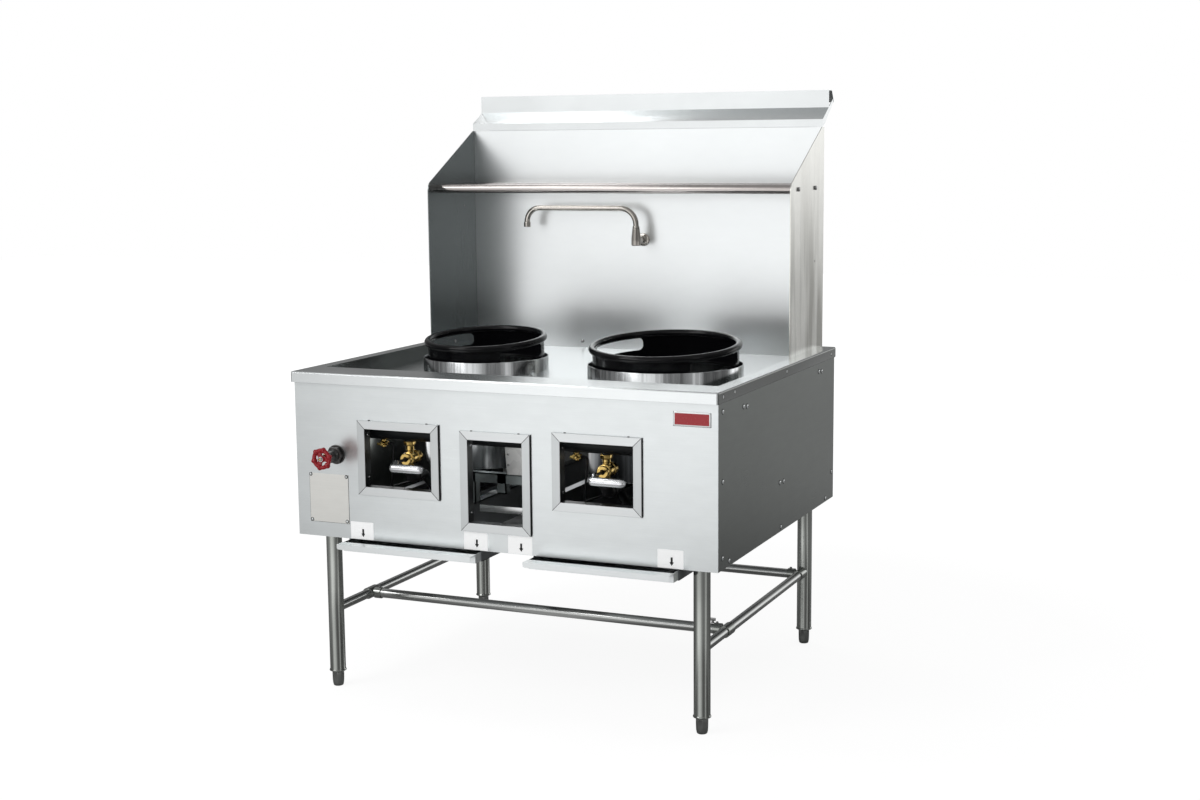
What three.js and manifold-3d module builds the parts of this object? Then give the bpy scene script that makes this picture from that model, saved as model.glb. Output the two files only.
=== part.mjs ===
// A two-burner gas wok range: four legs with rails, a base, a panelled body with framed windows,
// a deck with a sunken well, two fire chambers with lift-off wok rings, the gas and water controls,
// and a splash back with wings, rack bars, a swivel spout and a flue.
//
// Millimetres, +Z up, front towards -Y. In this file x is measured from the middle of the range,
// y from the front panel's face and z from the floor. At the end the whole group moves along y,
// so that its box is centred on the origin.

import * as THREE from 'three';
import { mergeVertices } from 'three/addons/utils/BufferGeometryUtils.js';
import Module from 'manifold-3d';

const wasm = await Module();
wasm.setup();

// ---------------------------------------------------------------- driving dimensions

// Sheet, clearance and fineness
const sheet = 1.5;
const fit = 0.3; // clearance between pieces that touch
const fineSides = 36; // sides of the chambers and rings
const tubeSides = 16; // sides of the legs and rails
const smallSides = 12; // sides of fittings and rods
const bendSteps = 5; // steps round a pipe's bend

// Body
const bodyWidth = 1160;
const bodyDepth = 967;
const bodyHeight = 430;
const rimTop = 850; // working height; the heights below are measured from it
const bodyBottom = rimTop - bodyHeight;
const bodyHalf = bodyWidth / 2;
const flange = 20; // width of the panels' turned-in edges

// Deck
const skirtHeight = 28;
const skirtFront = 12; // the skirt stands this far ahead of the front panel
const skirtSide = 4; // and this far outside the side panels
const skirtBack = 3; // and this far behind the body
const deckCorner = 5; // corner radius seen from above
const deckEdge = 4; // radius along the top edge
const ledgeDepth = 110; // front ledge, front edge to well
const rimWidth = 39; // side rims
const wellDepth = 29; // rim top to the floor of the well at the splash back
const wellFall = 24; // how much deeper the floor is at the front
const drainRadius = 19;
const drainLength = 25;
const drainInset = 52; // drain's axis behind the well's front wall

// Splash back and wings
const splashFace = bodyDepth - 13; // y of the splash back's front face
const wingFront = splashFace - 292; // y of a wing's front edge
const wingShoulder = rimTop + 440; // height where the front edge turns back
const wingRadius = 25;
const wingTopFront = splashFace - 6; // y where the slope meets the top edge
const rackBarHeight = wingShoulder + 7;
const rackBarRadius = 12.7;
const rackBarPlaces = { front: wingFront + 65, rear: splashFace - 72 }; // y of the bars' axes

// Flue
const capLipBottom = rimTop + 613;
const capLipHeight = 21;
const capLipFace = splashFace - 3; // y of the lip's face
const capSlopeDepth = 57.5;
const capSlopeRise = 33;
const capBandHeight = 48;
const capTopDepth = 31;
const capBackSlopeDepth = 17.5;
const capBackSlopeDrop = 27;
const capBackLipDepth = 2;
const capBackLipDrop = 6;
const capGussetFoot = 20; // depth of the gusset's level foot behind the lip
const riserInset = 80; // from the body's side to the riser
const riserDepth = 76;
const riserBottom = rimTop - 250;
const throatWidth = 180;
const throatHeight = 90;
const throatBottom = rimTop - 160;
const throatReach = 30; // how far the riser's throats reach into the body

// Windows: centre, clear width, and how far the clear opening's bottom and top are below the rim
const windows = [
  { name: 'window_frame_left', x: 304 - bodyHalf, width: 191, bottomDrop: 289.5, topDrop: 140 },
  { name: 'window_frame_centre', x: -2, width: 150, bottomDrop: 360, topDrop: 150 },
  { name: 'window_frame_right', x: bodyHalf - 308.5, width: 192, bottomDrop: 289.5, topDrop: 140 },
].map((window) => ({
  ...window,
  bottom: rimTop - window.bottomDrop,
  top: rimTop - window.topDrop,
}));
const frameFace = 21.5; // width of a frame's face
const frameProud = 7; // how far the face stands off the panel
const frameSleeve = 22; // how far the sleeve reaches behind the panel's face

// Legs, feet and rails
const legRadius = 20.65;
const legWall = 1.5;
const legInset = 64; // from the body's side to the leg's axis
const legFrontY = 64.4;
const legRearY = bodyDepth - 60.5;
const legX = bodyHalf - legInset;
const legFlareHeight = 6;
const legFlare = 1.9;
const legPlug = 22; // height of the threaded plug in the leg's end
const socketLength = 50;
const footHeight = 41;
const footRadius = 15.5;
const footTipRadius = 12;
const footStemRadius = 8;
const footStemLength = 56;
const railRadius = 12.7;
const railWall = 1.5;
const railHeight = 211;
const crossRailPlaces = { front: legFrontY + 180.6, rear: legRearY - 45.5 }; // y of their axes
const teeRadius = 15.5;
const teeLength = 44;
const teeStub = 34;

// Drip trays and their runners
const trayWidth = 384;
const trayHalf = trayWidth / 2;
const trays = { left: 86 + trayHalf - legX, right: legX - 35 - trayHalf }; // x of their middles
const trayHeight = 23;
const trayBottom = bodyBottom - 26;
const trayWall = 1;
const trayFrontWall = -30; // y
const trayLip = 30;
const trayLipHeight = 13;
const trayLipCorner = 5;
const trayLength = bodyDepth - 77;
const runnerSheet = 1.5;
const runnerLedge = 15;

const manifoldHeight = rimTop - 156;
const chamberBottom = rimTop - 292;

// Burners: x of the chamber, radius of the wok ring, x of the gas valve, height of its lever's
// axis, x of the pilot valve, and height of the channels that carry the chamber
const burners = {
  left: {
    x: 304 - bodyHalf,
    ring: 160,
    valveX: 296 - bodyHalf,
    stem: manifoldHeight - 66,
    pilotX: 219 - bodyHalf,
    channelTop: chamberBottom - 51,
  },
  right: {
    x: bodyHalf - 324,
    ring: 194,
    valveX: bodyHalf - 315,
    stem: manifoldHeight - 62,
    pilotX: bodyHalf - 395,
    channelTop: chamberBottom - 6,
  },
};
const burnerY = 490;
const ringTube = 9.5;
const ringSheet = 3;
const ringRise = 42; // ring's centre above the rim
const ringTilt = 4.4; // degrees, higher at the back
const ringWindowAngles = [158.5, -21.5]; // degrees from +x
const ringWindowSpan = 57; // degrees
const ringWindowHeight = 33;
const ringWindowCorner = 12;
const collarSpace = 12.5; // from the ring's radius to the chamber's
const collarDrop = 4.7; // collar's top edge below the rim's top
const collarSheet = 2;
const seatWidth = 21; // ledge that carries the wok ring
const seatSheet = 3;
const seatDrop = 22; // ledge's top below the rim's top
const chamberFloor = 3;
const burnerHole = 65;
const burnerFlange = 85;
const burnerRise = 62; // burner's top above the chamber's floor
const burnerNeck = 22;
const burnerInlet = chamberBottom - 13; // height of the burner's lower end

// Channels and angles that carry the chambers
const channelSheet = 3;
const channelFlange = 25;
const channelFront = 130; // y
const channelRear = bodyDepth - 117; // y
const channelShare = 0.8; // channel's distance from the chamber's axis, in chamber radii
const dripFront = 200; // y of the drip openings in the base
const dripRear = bodyDepth - 187; // y
const linkY = 150;
const linkTop = chamberBottom + 29;
const hangerBottom = chamberBottom - 23;
const strapY = 100;
const strapBottom = chamberBottom - 61;
const strapHeight = 17;
const shieldTop = rimTop - 80;
// Places along the link, as shares of its length from the left stand to the right one
const hangerShare = 0.385;
const strapShare = 0.162; // strap's left end
const shieldShares = [0.341, 0.874]; // shield's upper corners
const shieldLean = 0.061; // how far the shield's left edge leans

// Gas
const manifoldRadius = 21;
const manifoldWall = 3.5;
const manifoldY = 72;
const manifoldLeft = 35 - bodyHalf; // x of the capped end
const inletX = bodyHalf - 50; // x of the run to the rear
const inletReach = 18; // how far the inlet stands out behind the rear panel
const inletBend = 32;
const barrelRadius = 18;
const barrelFront = 46; // y
const barrelRear = 118; // y
const valveNeck = 11;
const valveNut = 15.5;
const valveNutHeight = 11;
const stemRadius = 4;
const stemSeat = 18; // depth of the stem in the valve
const leverBend = 8;
const gripRadius = 11;
const gripLength = 95;
const gripDrop = 10; // grip's axis below the stem's
const gripY = -22;
const gripBehind = 5; // grip's end beyond the stem's axis
const elbowHeight = burners.left.stem - 51;
const elbowRadius = 15.5;
const elbowTop = elbowHeight + 20;
const feedRadius = 12;
const feedBend = 18;
const feedHeight = chamberBottom - 38; // height of the long run
const pilotBodyRadius = 6;
const pilotDrop = 20; // pilot valve's length below the manifold
const pilotTubeRadius = 2.75;
const pilotTubeOut = 30; // x of the tube's drop from the pilot valve
const pilotTubeHeight = burnerInlet + 4; // height of the run to the burner
const pilotTubeBend = 9;
const keyWidth = 18;
const keyHeight = 7;

// Water
const waterValveX = 120 - bodyHalf;
const waterValveHeight = rimTop - 212;
const locknutRadius = 25;
const locknutDepth = 20;
const bonnetRadius = 14;
const bonnetDepth = 26;
const valveTail = 42; // y of the valve's rear end
const valveBodyRadius = 16;
const wheelRadius = 26.5;
const wheelLobe = 3;
const wheelLobes = 6;
const wheelThickness = 12;
const wheelFace = -76; // y of the wheel's front
const wheelTip = 4;
const spindleRadius = 4;
const waterPipeRadius = 4.75;
const waterPipeX = 60 - bodyHalf;
const waterPipeBend = 8;
const waterPipeJog = rimTop + 65; // height where the pipe steps in behind the splash back

// Faucet
const faucetX = 7;
const faucetY = splashFace - 58;
const faucetFlangeHeight = rimTop + 294;
const faucetFlangeRadius = 19;
const faucetTail = 7;
const faucetBodyBottom = faucetFlangeHeight - 14.5;
const faucetBodyTop = faucetFlangeHeight + 35.5;
const faucetBodyRadius = 14;
const faucetTopRadius = 11;
const spoutRadius = 8;
const spoutHeight = faucetBodyTop + 57;
const spoutReach = 348;
const spoutFirstBend = 48;
const spoutLastBend = 41;
const spoutTipRadius = 10;
const spoutTipBottom = spoutHeight - 56.5;

// ---------------------------------------------------------------- shapes

// A closed geometry as a solid that can be joined and cut.
function solid(geometry) {
  const bare = geometry.clone();
  bare.deleteAttribute('normal');
  bare.deleteAttribute('uv');
  const merged = mergeVertices(bare, 1e-3);
  const vertProperties = merged.getAttribute('position').array;
  const triVerts = new Uint32Array(merged.index.array);
  return new wasm.Manifold(new wasm.Mesh({ numProp: 3, vertProperties, triVerts }));
}

// A solid back as a geometry with one normal per face.
function geometryOf(body) {
  const mesh = body.getMesh();
  const geometry = new THREE.BufferGeometry();
  geometry.setAttribute('position', new THREE.BufferAttribute(mesh.vertProperties, 3));
  geometry.setIndex(new THREE.BufferAttribute(mesh.triVerts, 1));
  const flat = geometry.toNonIndexed();
  flat.computeVertexNormals();
  return flat;
}

function join(first, ...others) {
  return others.reduce((whole, piece) => whole.add(piece), first);
}

function cut(whole, ...tools) {
  return tools.reduce((rest, tool) => rest.subtract(tool), whole);
}

// A block from its two corners.
function block([x0, x1], [y0, y1], [z0, z1]) {
  const geometry = new THREE.BoxGeometry(x1 - x0, y1 - y0, z1 - z0);
  geometry.translate((x0 + x1) / 2, (y0 + y1) / 2, (z0 + z1) / 2);
  return solid(geometry);
}

// A round or, with few sides, a cornered bar between two points; endRadius makes it a taper.
function rod(radius, from, to, sides = smallSides, endRadius = radius) {
  const start = new THREE.Vector3(...from);
  const end = new THREE.Vector3(...to);
  const along = end.clone().sub(start);
  const geometry = new THREE.CylinderGeometry(endRadius, radius, along.length(), sides);
  const turn = new THREE.Quaternion();
  turn.setFromUnitVectors(new THREE.Vector3(0, 1, 0), along.clone().normalize());
  geometry.applyQuaternion(turn);
  geometry.translate(...start.add(end).multiplyScalar(0.5).toArray());
  return solid(geometry);
}

// A turned piece round the z axis from [radius, z] points. The profile runs up the outside, and
// starts and ends on the axis or closes on itself.
function turned(profile, sides) {
  const points = profile.map(([radius, z]) => new THREE.Vector2(radius, z));
  const geometry = new THREE.LatheGeometry(points, sides);
  geometry.rotateX(Math.PI / 2);
  return solid(geometry);
}

// A straight-sided piece: an outline of two coordinates, carried along the third.
function prism(outline, axis, [from, to]) {
  const isShape = outline instanceof THREE.Shape;
  const corners = isShape ? [] : outline.map(([a, b]) => new THREE.Vector2(a, b));
  const shape = isShape ? outline : new THREE.Shape(corners);
  const geometry = new THREE.ExtrudeGeometry(shape, {
    depth: to - from,
    bevelEnabled: false,
    curveSegments: 2,
  });
  const turn = new THREE.Matrix4();
  const [x, y, z] = ['x', 'y', 'z'].map((name) => new THREE.Vector3(
    Number(name === 'x'), Number(name === 'y'), Number(name === 'z')));
  if (axis === 'x') turn.makeBasis(y, z, x).setPosition(from, 0, 0);
  if (axis === 'y') turn.makeBasis(x, z, y.clone().negate()).setPosition(0, to, 0);
  if (axis === 'z') turn.setPosition(0, 0, from);
  geometry.applyMatrix4(turn);
  return solid(geometry);
}

// A rectangle with round corners, as an outline.
function roundedRectangle([x0, x1], [y0, y1], radius) {
  const shape = new THREE.Shape();
  shape.absarc(x1 - radius, y0 + radius, radius, -Math.PI / 2, 0);
  shape.absarc(x1 - radius, y1 - radius, radius, 0, Math.PI / 2);
  shape.absarc(x0 + radius, y1 - radius, radius, Math.PI / 2, Math.PI);
  shape.absarc(x0 + radius, y0 + radius, radius, Math.PI, 1.5 * Math.PI);
  return shape;
}

// The centre line of a bent pipe: straight runs between corners, with round bends. It has one
// station at each end of a straight run and several round each bend.
class PipeLine extends THREE.Curve {
  constructor(corners, bend) {
    super();
    const points = corners.map((corner) => new THREE.Vector3(...corner));
    const bends = Array.isArray(bend) ? bend : points.slice(2).map(() => bend);
    this.stations = [];
    this.addStation(points[0], points[1].clone().sub(points[0]).normalize());
    for (let i = 1; i < points.length - 1; i += 1) {
      this.addBend(points[i - 1], points[i], points[i + 1], bends[i - 1]);
    }
    const last = points[points.length - 1];
    this.addStation(last, last.clone().sub(points[points.length - 2]).normalize());
  }

  addStation(point, tangent) {
    this.stations.push({ point, tangent });
  }

  addBend(before, corner, after, radius) {
    const into = corner.clone().sub(before).normalize();
    const out = after.clone().sub(corner).normalize();
    const turn = into.angleTo(out);
    const start = corner.clone().addScaledVector(into, -radius * Math.tan(turn / 2));
    const inwards = out.clone().addScaledVector(into, -out.dot(into)).normalize();
    for (let step = 0; step <= bendSteps; step += 1) {
      const angle = (turn * step) / bendSteps;
      const point = start.clone()
        .addScaledVector(into, radius * Math.sin(angle))
        .addScaledVector(inwards, radius * (1 - Math.cos(angle)));
      const tangent = into.clone().multiplyScalar(Math.cos(angle))
        .addScaledVector(inwards, Math.sin(angle));
      this.addStation(point, tangent);
    }
  }

  stationAt(u) {
    return this.stations[Math.round(u * (this.stations.length - 1))];
  }

  getPointAt(u) {
    return this.stationAt(u).point.clone();
  }

  getTangentAt(u) {
    return this.stationAt(u).tangent.clone();
  }
}

// A round bar along a bent centre line.
function pipe(radius, corners, bend, sides = smallSides) {
  const line = new PipeLine(corners, bend);
  const section = new THREE.Shape();
  section.absarc(0, 0, radius, 0, 2 * Math.PI);
  const geometry = new THREE.ExtrudeGeometry(section, {
    steps: line.stations.length - 1,
    curveSegments: sides / 2,
    extrudePath: line,
  });
  return solid(geometry);
}

// A folded sheet seen from its edge: the outer line and the same line moved inwards by the
// sheet's thickness. The sheet lies on the right-hand side of the line.
function foldedOutline(line, thickness) {
  const inner = line.map(([a, b], i) => {
    const sides = [];
    if (i > 0) sides.push([a - line[i - 1][0], b - line[i - 1][1]]);
    if (i < line.length - 1) sides.push([line[i + 1][0] - a, line[i + 1][1] - b]);
    const normals = sides.map(([da, db]) => {
      const length = Math.hypot(da, db);
      return [db / length, -da / length];
    });
    const sum = normals.reduce((total, n) => [total[0] + n[0], total[1] + n[1]], [0, 0]);
    const scale = (thickness * normals.length) / (sum[0] ** 2 + sum[1] ** 2);
    return [a + sum[0] * scale, b + sum[1] * scale];
  });
  return [...line, ...inner.reverse()];
}

// ---------------------------------------------------------------- finishes

function finish(color, roughness, metalness) {
  return new THREE.MeshStandardMaterial({ color, roughness, metalness });
}

const finishes = {
  brushedSteel: () => finish(0xc9cbcc, 0.38, 0.9),
  shadedSteel: () => finish(0x8f9392, 0.42, 0.9),
  chrome: () => finish(0xd5d6d8, 0.14, 1.0),
  legSteel: () => finish(0xa9a9a2, 0.28, 1.0),
  galvanised: () => finish(0x9b9d9c, 0.5, 0.8),
  darkSteel: () => finish(0x2b2d2f, 0.5, 0.6),
  blackEnamel: () => finish(0x0b0b0d, 0.15, 0.2),
  blackPipe: () => finish(0x17181a, 0.45, 0.5),
  brass: () => finish(0xb8923f, 0.3, 1.0),
  castIron: () => finish(0x1e1e20, 0.7, 0.4),
  redEnamel: () => finish(0xc01622, 0.3, 0.1),
};

const range = new THREE.Group();

// Adds one named piece. Where a place is given, the solid was made at its own origin.
function addPiece(name, body, makeFinish, place = [0, 0, 0]) {
  const mesh = new THREE.Mesh(geometryOf(body), makeFinish());
  mesh.name = name;
  mesh.position.set(...place);
  range.add(mesh);
}

// ---------------------------------------------------------------- shared places

const sidePanelInner = bodyHalf - sheet;
const deckUnderside = rimTop - sheet;
const panelTop = deckUnderside - fit;
const outerPanelTop = rimTop - deckEdge - fit; // below the round of the deck's edge
const deckHalf = bodyHalf + skirtSide;
const deckBack = bodyDepth + skirtBack;
const wellHalf = deckHalf - rimWidth;
const wellFront = ledgeDepth - skirtFront;
const wellBack = splashFace + sheet + fit;
const wellSlope = wellFall / (splashFace - wellFront);
const baseUnderside = bodyBottom + sheet + fit;
const baseTop = baseUnderside + sheet;
const lipTop = capLipBottom + capLipHeight;
const seatTop = rimTop - seatDrop;
const riserFront = deckBack + fit;
const sideOf = { left: -1, right: 1 };

function wellFloor(y) {
  return rimTop - wellDepth - wellSlope * (splashFace - y);
}

function chamberRadius(burner) {
  return burner.ring + collarSpace;
}

// ---------------------------------------------------------------- body panels

function makeFrontPanel() {
  const face = block([-bodyHalf, bodyHalf], [0, sheet], [bodyBottom, panelTop]);
  const edgeOuter = sidePanelInner - fit;
  const lowerEdge = block([-edgeOuter, edgeOuter], [0, flange], [bodyBottom, bodyBottom + sheet]);
  const sideEdges = [-1, 1].map((side) => {
    const across = [side * edgeOuter, side * (edgeOuter - sheet)].sort((a, b) => a - b);
    return block(across, [0, flange], [bodyBottom, panelTop]);
  });
  const openings = windows.map(({ x, width, bottom, top }) => {
    const half = width / 2 + sheet + fit;
    const heights = [bottom - sheet - fit, top + sheet + fit];
    return block([x - half, x + half], [-sheet, 2 * sheet], heights);
  });
  const valveHole = rod(
    valveBodyRadius + fit,
    [waterValveX, -sheet, waterValveHeight],
    [waterValveX, 2 * sheet, waterValveHeight],
    tubeSides,
  );
  return cut(join(face, lowerEdge, ...sideEdges), ...openings, valveHole);
}

// Mirrored for the two sides: the outer sheet with turned-in lower and rear edges.
function makeSidePanel(side) {
  const across = (inner, outer) => [side * inner, side * outer].sort((a, b) => a - b);
  const front = sheet + fit;
  const inside = sidePanelInner - flange;
  const rearEdgeBack = bodyDepth - sheet - fit;
  return join(
    block(across(sidePanelInner, bodyHalf), [front, bodyDepth], [bodyBottom, outerPanelTop]),
    block(across(inside, bodyHalf), [flange + fit, rearEdgeBack], [bodyBottom, bodyBottom + sheet]),
    block(across(inside, bodyHalf), [rearEdgeBack - sheet, rearEdgeBack],
      [bodyBottom, outerPanelTop]),
  );
}

function makeRearPanel() {
  const half = sidePanelInner - fit;
  const depth = [bodyDepth - sheet, bodyDepth];
  const through = [bodyDepth - 2 * sheet, bodyDepth + sheet];
  const throats = Object.values(burners).map(({ x }) => {
    const halfThroat = throatWidth / 2 + fit;
    const heights = [throatBottom - fit, throatBottom + throatHeight + fit];
    return block([x - halfThroat, x + halfThroat], through, heights);
  });
  const hole = (radius, x, z) => rod(radius + fit, [x, through[0], z], [x, through[1], z], tubeSides);
  return cut(
    block([-half, half], depth, [bodyBottom, outerPanelTop]),
    ...throats,
    hole(manifoldRadius, inletX, manifoldHeight),
    hole(waterPipeRadius, waterPipeX, waterValveHeight),
  );
}

function makeWindowFrame({ x, width, bottom, top }) {
  const ring = (inner, outer, y) => cut(
    block([x - width / 2 - outer, x + width / 2 + outer], y, [bottom - outer, top + outer]),
    block([x - width / 2 - inner, x + width / 2 + inner], [y[0] - 1, y[1] + 1],
      [bottom - inner, top + inner]),
  );
  return join(
    ring(0, frameFace, [-frameProud, sheet - frameProud]),
    ring(frameFace - sheet, frameFace, [-frameProud, -fit]),
    ring(0, sheet, [-frameProud, frameSleeve]),
  );
}

addPiece('front_panel', makeFrontPanel(), finishes.brushedSteel);
addPiece('left_side_panel', makeSidePanel(-1), finishes.shadedSteel);
addPiece('right_side_panel', makeSidePanel(1), finishes.shadedSteel);
addPiece('rear_panel', makeRearPanel(), finishes.galvanised);
windows.forEach((window) => {
  addPiece(window.name, makeWindowFrame(window), finishes.brushedSteel);
});

// ---------------------------------------------------------------- deck

// A lid with round corners and a round top edge, open at nothing: the solid that the pressed
// deck is cut from.
function makeLid(inset, height) {
  const edge = deckEdge - inset;
  const across = [inset + edge - deckHalf, deckHalf - inset - edge];
  const along = [inset + edge - skirtFront, deckBack - inset - edge];
  const depth = skirtHeight + 2 * deckEdge;
  const geometry = new THREE.ExtrudeGeometry(roundedRectangle(across, along, deckCorner - deckEdge), {
    depth,
    bevelSize: edge,
    bevelThickness: edge,
    bevelSegments: 3,
    curveSegments: 1,
  });
  geometry.translate(0, 0, height - depth - edge);
  return solid(geometry);
}

function makeDeck() {
  const beyond = 100;
  const below = block(
    [-deckHalf - beyond, deckHalf + beyond],
    [-skirtFront - beyond, deckBack + beyond],
    [rimTop - skirtHeight - beyond, rimTop - skirtHeight],
  );
  const pressing = cut(makeLid(0, rimTop), makeLid(sheet, deckUnderside), below);
  const wellOutline = (grow, top) => [
    [wellFront - grow, wellFloor(wellFront - grow) - grow],
    [wellBack + grow, wellFloor(wellBack + grow) - grow],
    [wellBack + grow, top],
    [wellFront - grow, top],
  ];
  const shellTop = rimTop - sheet / 2;
  const wellShell = prism(wellOutline(sheet, shellTop), 'x', [-wellHalf - sheet, wellHalf + sheet]);
  const wellSpace = prism(wellOutline(0, rimTop + beyond), 'x', [-wellHalf, wellHalf]);
  const chamberHoles = Object.values(burners).map((burner) => rod(
    chamberRadius(burner) + fit,
    [burner.x, burnerY, rimTop - beyond],
    [burner.x, burnerY, rimTop],
    fineSides,
  ));
  const drainY = wellFront + drainInset;
  const drainFloor = wellFloor(drainY);
  const drain = rod(drainRadius, [0, drainY, drainFloor - drainLength], [0, drainY, drainFloor - 1]);
  const drainBore = rod(
    drainRadius - 2 * sheet,
    [0, drainY, drainFloor - beyond],
    [0, drainY, drainFloor + beyond],
  );
  return cut(join(pressing, wellShell, drain), wellSpace, ...chamberHoles, drainBore);
}

addPiece('deck_top', makeDeck(), finishes.brushedSteel);

// ---------------------------------------------------------------- splash back, wings and racks

const wingOuter = wellHalf - fit;
const wingInner = wingOuter - sheet;
const wingTop = capLipBottom - fit;

function makeSplash() {
  const half = wingInner - fit;
  const heights = [wellFloor(wellBack) + fit, wingTop];
  const tailHole = rod(
    faucetTail + fit,
    [faucetX, splashFace - sheet, faucetFlangeHeight],
    [faucetX, splashFace + 2 * sheet, faucetFlangeHeight],
  );
  return cut(block([-half, half], [splashFace, splashFace + sheet], heights), tailHole);
}

// A wing: upright front edge, round shoulder, then a straight slope up to the flue cap. Its foot
// stands on the sloping floor of the well, and above the rim it reaches back past the splash back.
function makeWing(side) {
  const slopeStart = [wingFront + wingRadius * 0.4, wingShoulder + wingRadius];
  const floorBack = wellBack - fit;
  const outline = new THREE.Shape();
  outline.moveTo(wingFront, wellFloor(wingFront) + fit);
  outline.lineTo(floorBack, wellFloor(floorBack) + fit);
  outline.lineTo(floorBack, rimTop + fit);
  outline.lineTo(bodyDepth, rimTop + fit);
  outline.lineTo(bodyDepth, wingTop);
  outline.lineTo(wingTopFront, wingTop);
  outline.lineTo(...slopeStart);
  outline.quadraticCurveTo(wingFront, wingShoulder + wingRadius * 0.6, wingFront, wingShoulder);
  const across = [side * wingInner, side * wingOuter].sort((a, b) => a - b);
  return prism(outline, 'x', across);
}

function makeRackBar() {
  const half = wingInner - fit;
  return cut(
    rod(rackBarRadius, [-half, 0, 0], [half, 0, 0], tubeSides),
    rod(rackBarRadius - sheet, [-half - 1, 0, 0], [half + 1, 0, 0], tubeSides),
  );
}

addPiece('splash_panel', makeSplash(), finishes.brushedSteel);
addPiece('left_wing', makeWing(-1), finishes.shadedSteel);
addPiece('right_wing', makeWing(1), finishes.brushedSteel);
Object.entries(rackBarPlaces).forEach(([place, y]) => {
  addPiece(`rack_bar_${place}`, makeRackBar(), finishes.chrome, [0, y, rackBarHeight]);
});

// ---------------------------------------------------------------- flue

const bandY = capLipFace + capSlopeDepth;
const bandBottom = lipTop + capSlopeRise;
const capTop = bandBottom + capBandHeight;
const capBackTop = bandY + capTopDepth;
const capBackLip = capBackTop + capBackSlopeDepth;
const capBack = capBackLip + capBackLipDepth;
const capSlope = capSlopeRise / capSlopeDepth;

// The cap is one folded sheet with a gusset at each end, which closes the end below the slope's
// line and leaves it open above.
function makeCap() {
  const fold = [
    [capLipFace, capLipBottom],
    [capLipFace, lipTop],
    [bandY, bandBottom],
    [bandY, capTop],
    [capBackTop, capTop],
    [capBackLip, capTop - capBackSlopeDrop],
    [capBack, capTop - capBackSlopeDrop - capBackLipDrop],
  ];
  const gussetFront = capLipFace + capGussetFoot;
  const gussetFootRise = capGussetFoot / 3;
  const gussetHigh = (y) => lipTop + capSlope * (y - capLipFace) - sheet / 2;
  const backShoulder = capTop - capBackSlopeDrop;
  const gusset = [
    [capLipFace + sheet / 2, capLipBottom + sheet / 2],
    [gussetFront, capLipBottom + gussetFootRise],
    [capBack - sheet / 2, backShoulder - capBackLipDrop + sheet / 2],
    [capBackLip - sheet / 2, backShoulder],
    [capBackLip - 2 * sheet, gussetHigh(capBackLip - 2 * sheet)],
    [capLipFace + sheet / 2, gussetHigh(capLipFace)],
  ];
  const folded = prism(foldedOutline(fold, sheet), 'x', [-wingOuter, wingOuter]);
  const gussets = [-1, 1].map((side) => {
    const outer = wingOuter - sheet / 2;
    const across = [side * (outer - sheet), side * outer].sort((a, b) => a - b);
    return prism(gusset, 'x', across);
  });
  return join(folded, ...gussets);
}

// The riser is a flat box duct behind the splash back, open at the top under the cap. Two throats
// reach through the rear panel to the chambers' flue stubs.
function makeRiser() {
  const capUnderside = lipTop + capSlope * (riserFront - capLipFace) - 1.2 * sheet;
  const top = capUnderside - fit;
  const half = bodyHalf - riserInset;
  const back = riserFront + riserDepth;
  const throat = ({ x }, wall, from, to) => block(
    [x - throatWidth / 2 + wall, x + throatWidth / 2 - wall],
    [from, to],
    [throatBottom + wall, throatBottom + throatHeight - wall],
  );
  const throatFront = bodyDepth - sheet - throatReach;
  const sides = Object.values(burners);
  return cut(
    join(
      block([-half, half], [riserFront, back], [riserBottom, top]),
      ...sides.map((burner) => throat(burner, 0, throatFront, riserFront + sheet)),
    ),
    block([sheet - half, half - sheet], [riserFront + sheet, back - sheet],
      [riserBottom + sheet, top + 1]),
    ...sides.map((burner) => throat(burner, sheet, throatFront - 1, riserFront + 2 * sheet)),
  );
}

addPiece('flue_cap', makeCap(), finishes.brushedSteel);
addPiece('flue_riser', makeRiser(), finishes.galvanised);

// ---------------------------------------------------------------- base

const runnerInner = trayHalf - runnerSheet;
const runnerBottom = trayBottom - fit - runnerSheet;

// An upright web with a flange along its top, running along y.
function makeChannel(x, inwards, top) {
  const web = [x, x + inwards * channelSheet].sort((a, b) => a - b);
  const shelf = [x, x + inwards * channelFlange].sort((a, b) => a - b);
  const along = [channelFront, channelRear];
  return join(
    block(web, along, [baseTop - sheet / 2, top]),
    block(shelf, along, [top - channelSheet, top]),
  );
}

// An angle-iron post.
function makePost(x, inwards, y, [bottom, top]) {
  const web = [x, x + inwards * channelSheet].sort((a, b) => a - b);
  const face = [x, x + inwards * channelFlange].sort((a, b) => a - b);
  return join(
    block(web, [y, y + channelFlange], [bottom, top]),
    block(face, [y, y + channelSheet], [bottom, top]),
  );
}

function makeStand(burner) {
  const radius = chamberRadius(burner);
  const offset = channelShare * radius;
  const seat = chamberBottom - fit;
  const halfChord = Math.sqrt(radius ** 2 - offset ** 2) - channelFlange;
  return [-1, 1].flatMap((side) => {
    const x = burner.x + side * offset;
    const posts = [burnerY - halfChord, burnerY + halfChord - channelFlange].map((y) => (
      makePost(x, -side, y, [burner.channelTop - channelSheet / 2, seat])));
    return [makeChannel(x, -side, burner.channelTop), ...posts];
  });
}

// The link between the stands behind the centre window: an angle across, a post on each stand's
// channel, a hanger and a strap.
const linkLeft = burners.left.x + channelShare * chamberRadius(burners.left);
const linkRight = burners.right.x - channelShare * chamberRadius(burners.right);

function linkX(share) {
  return linkLeft + share * (linkRight - linkLeft);
}

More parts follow.
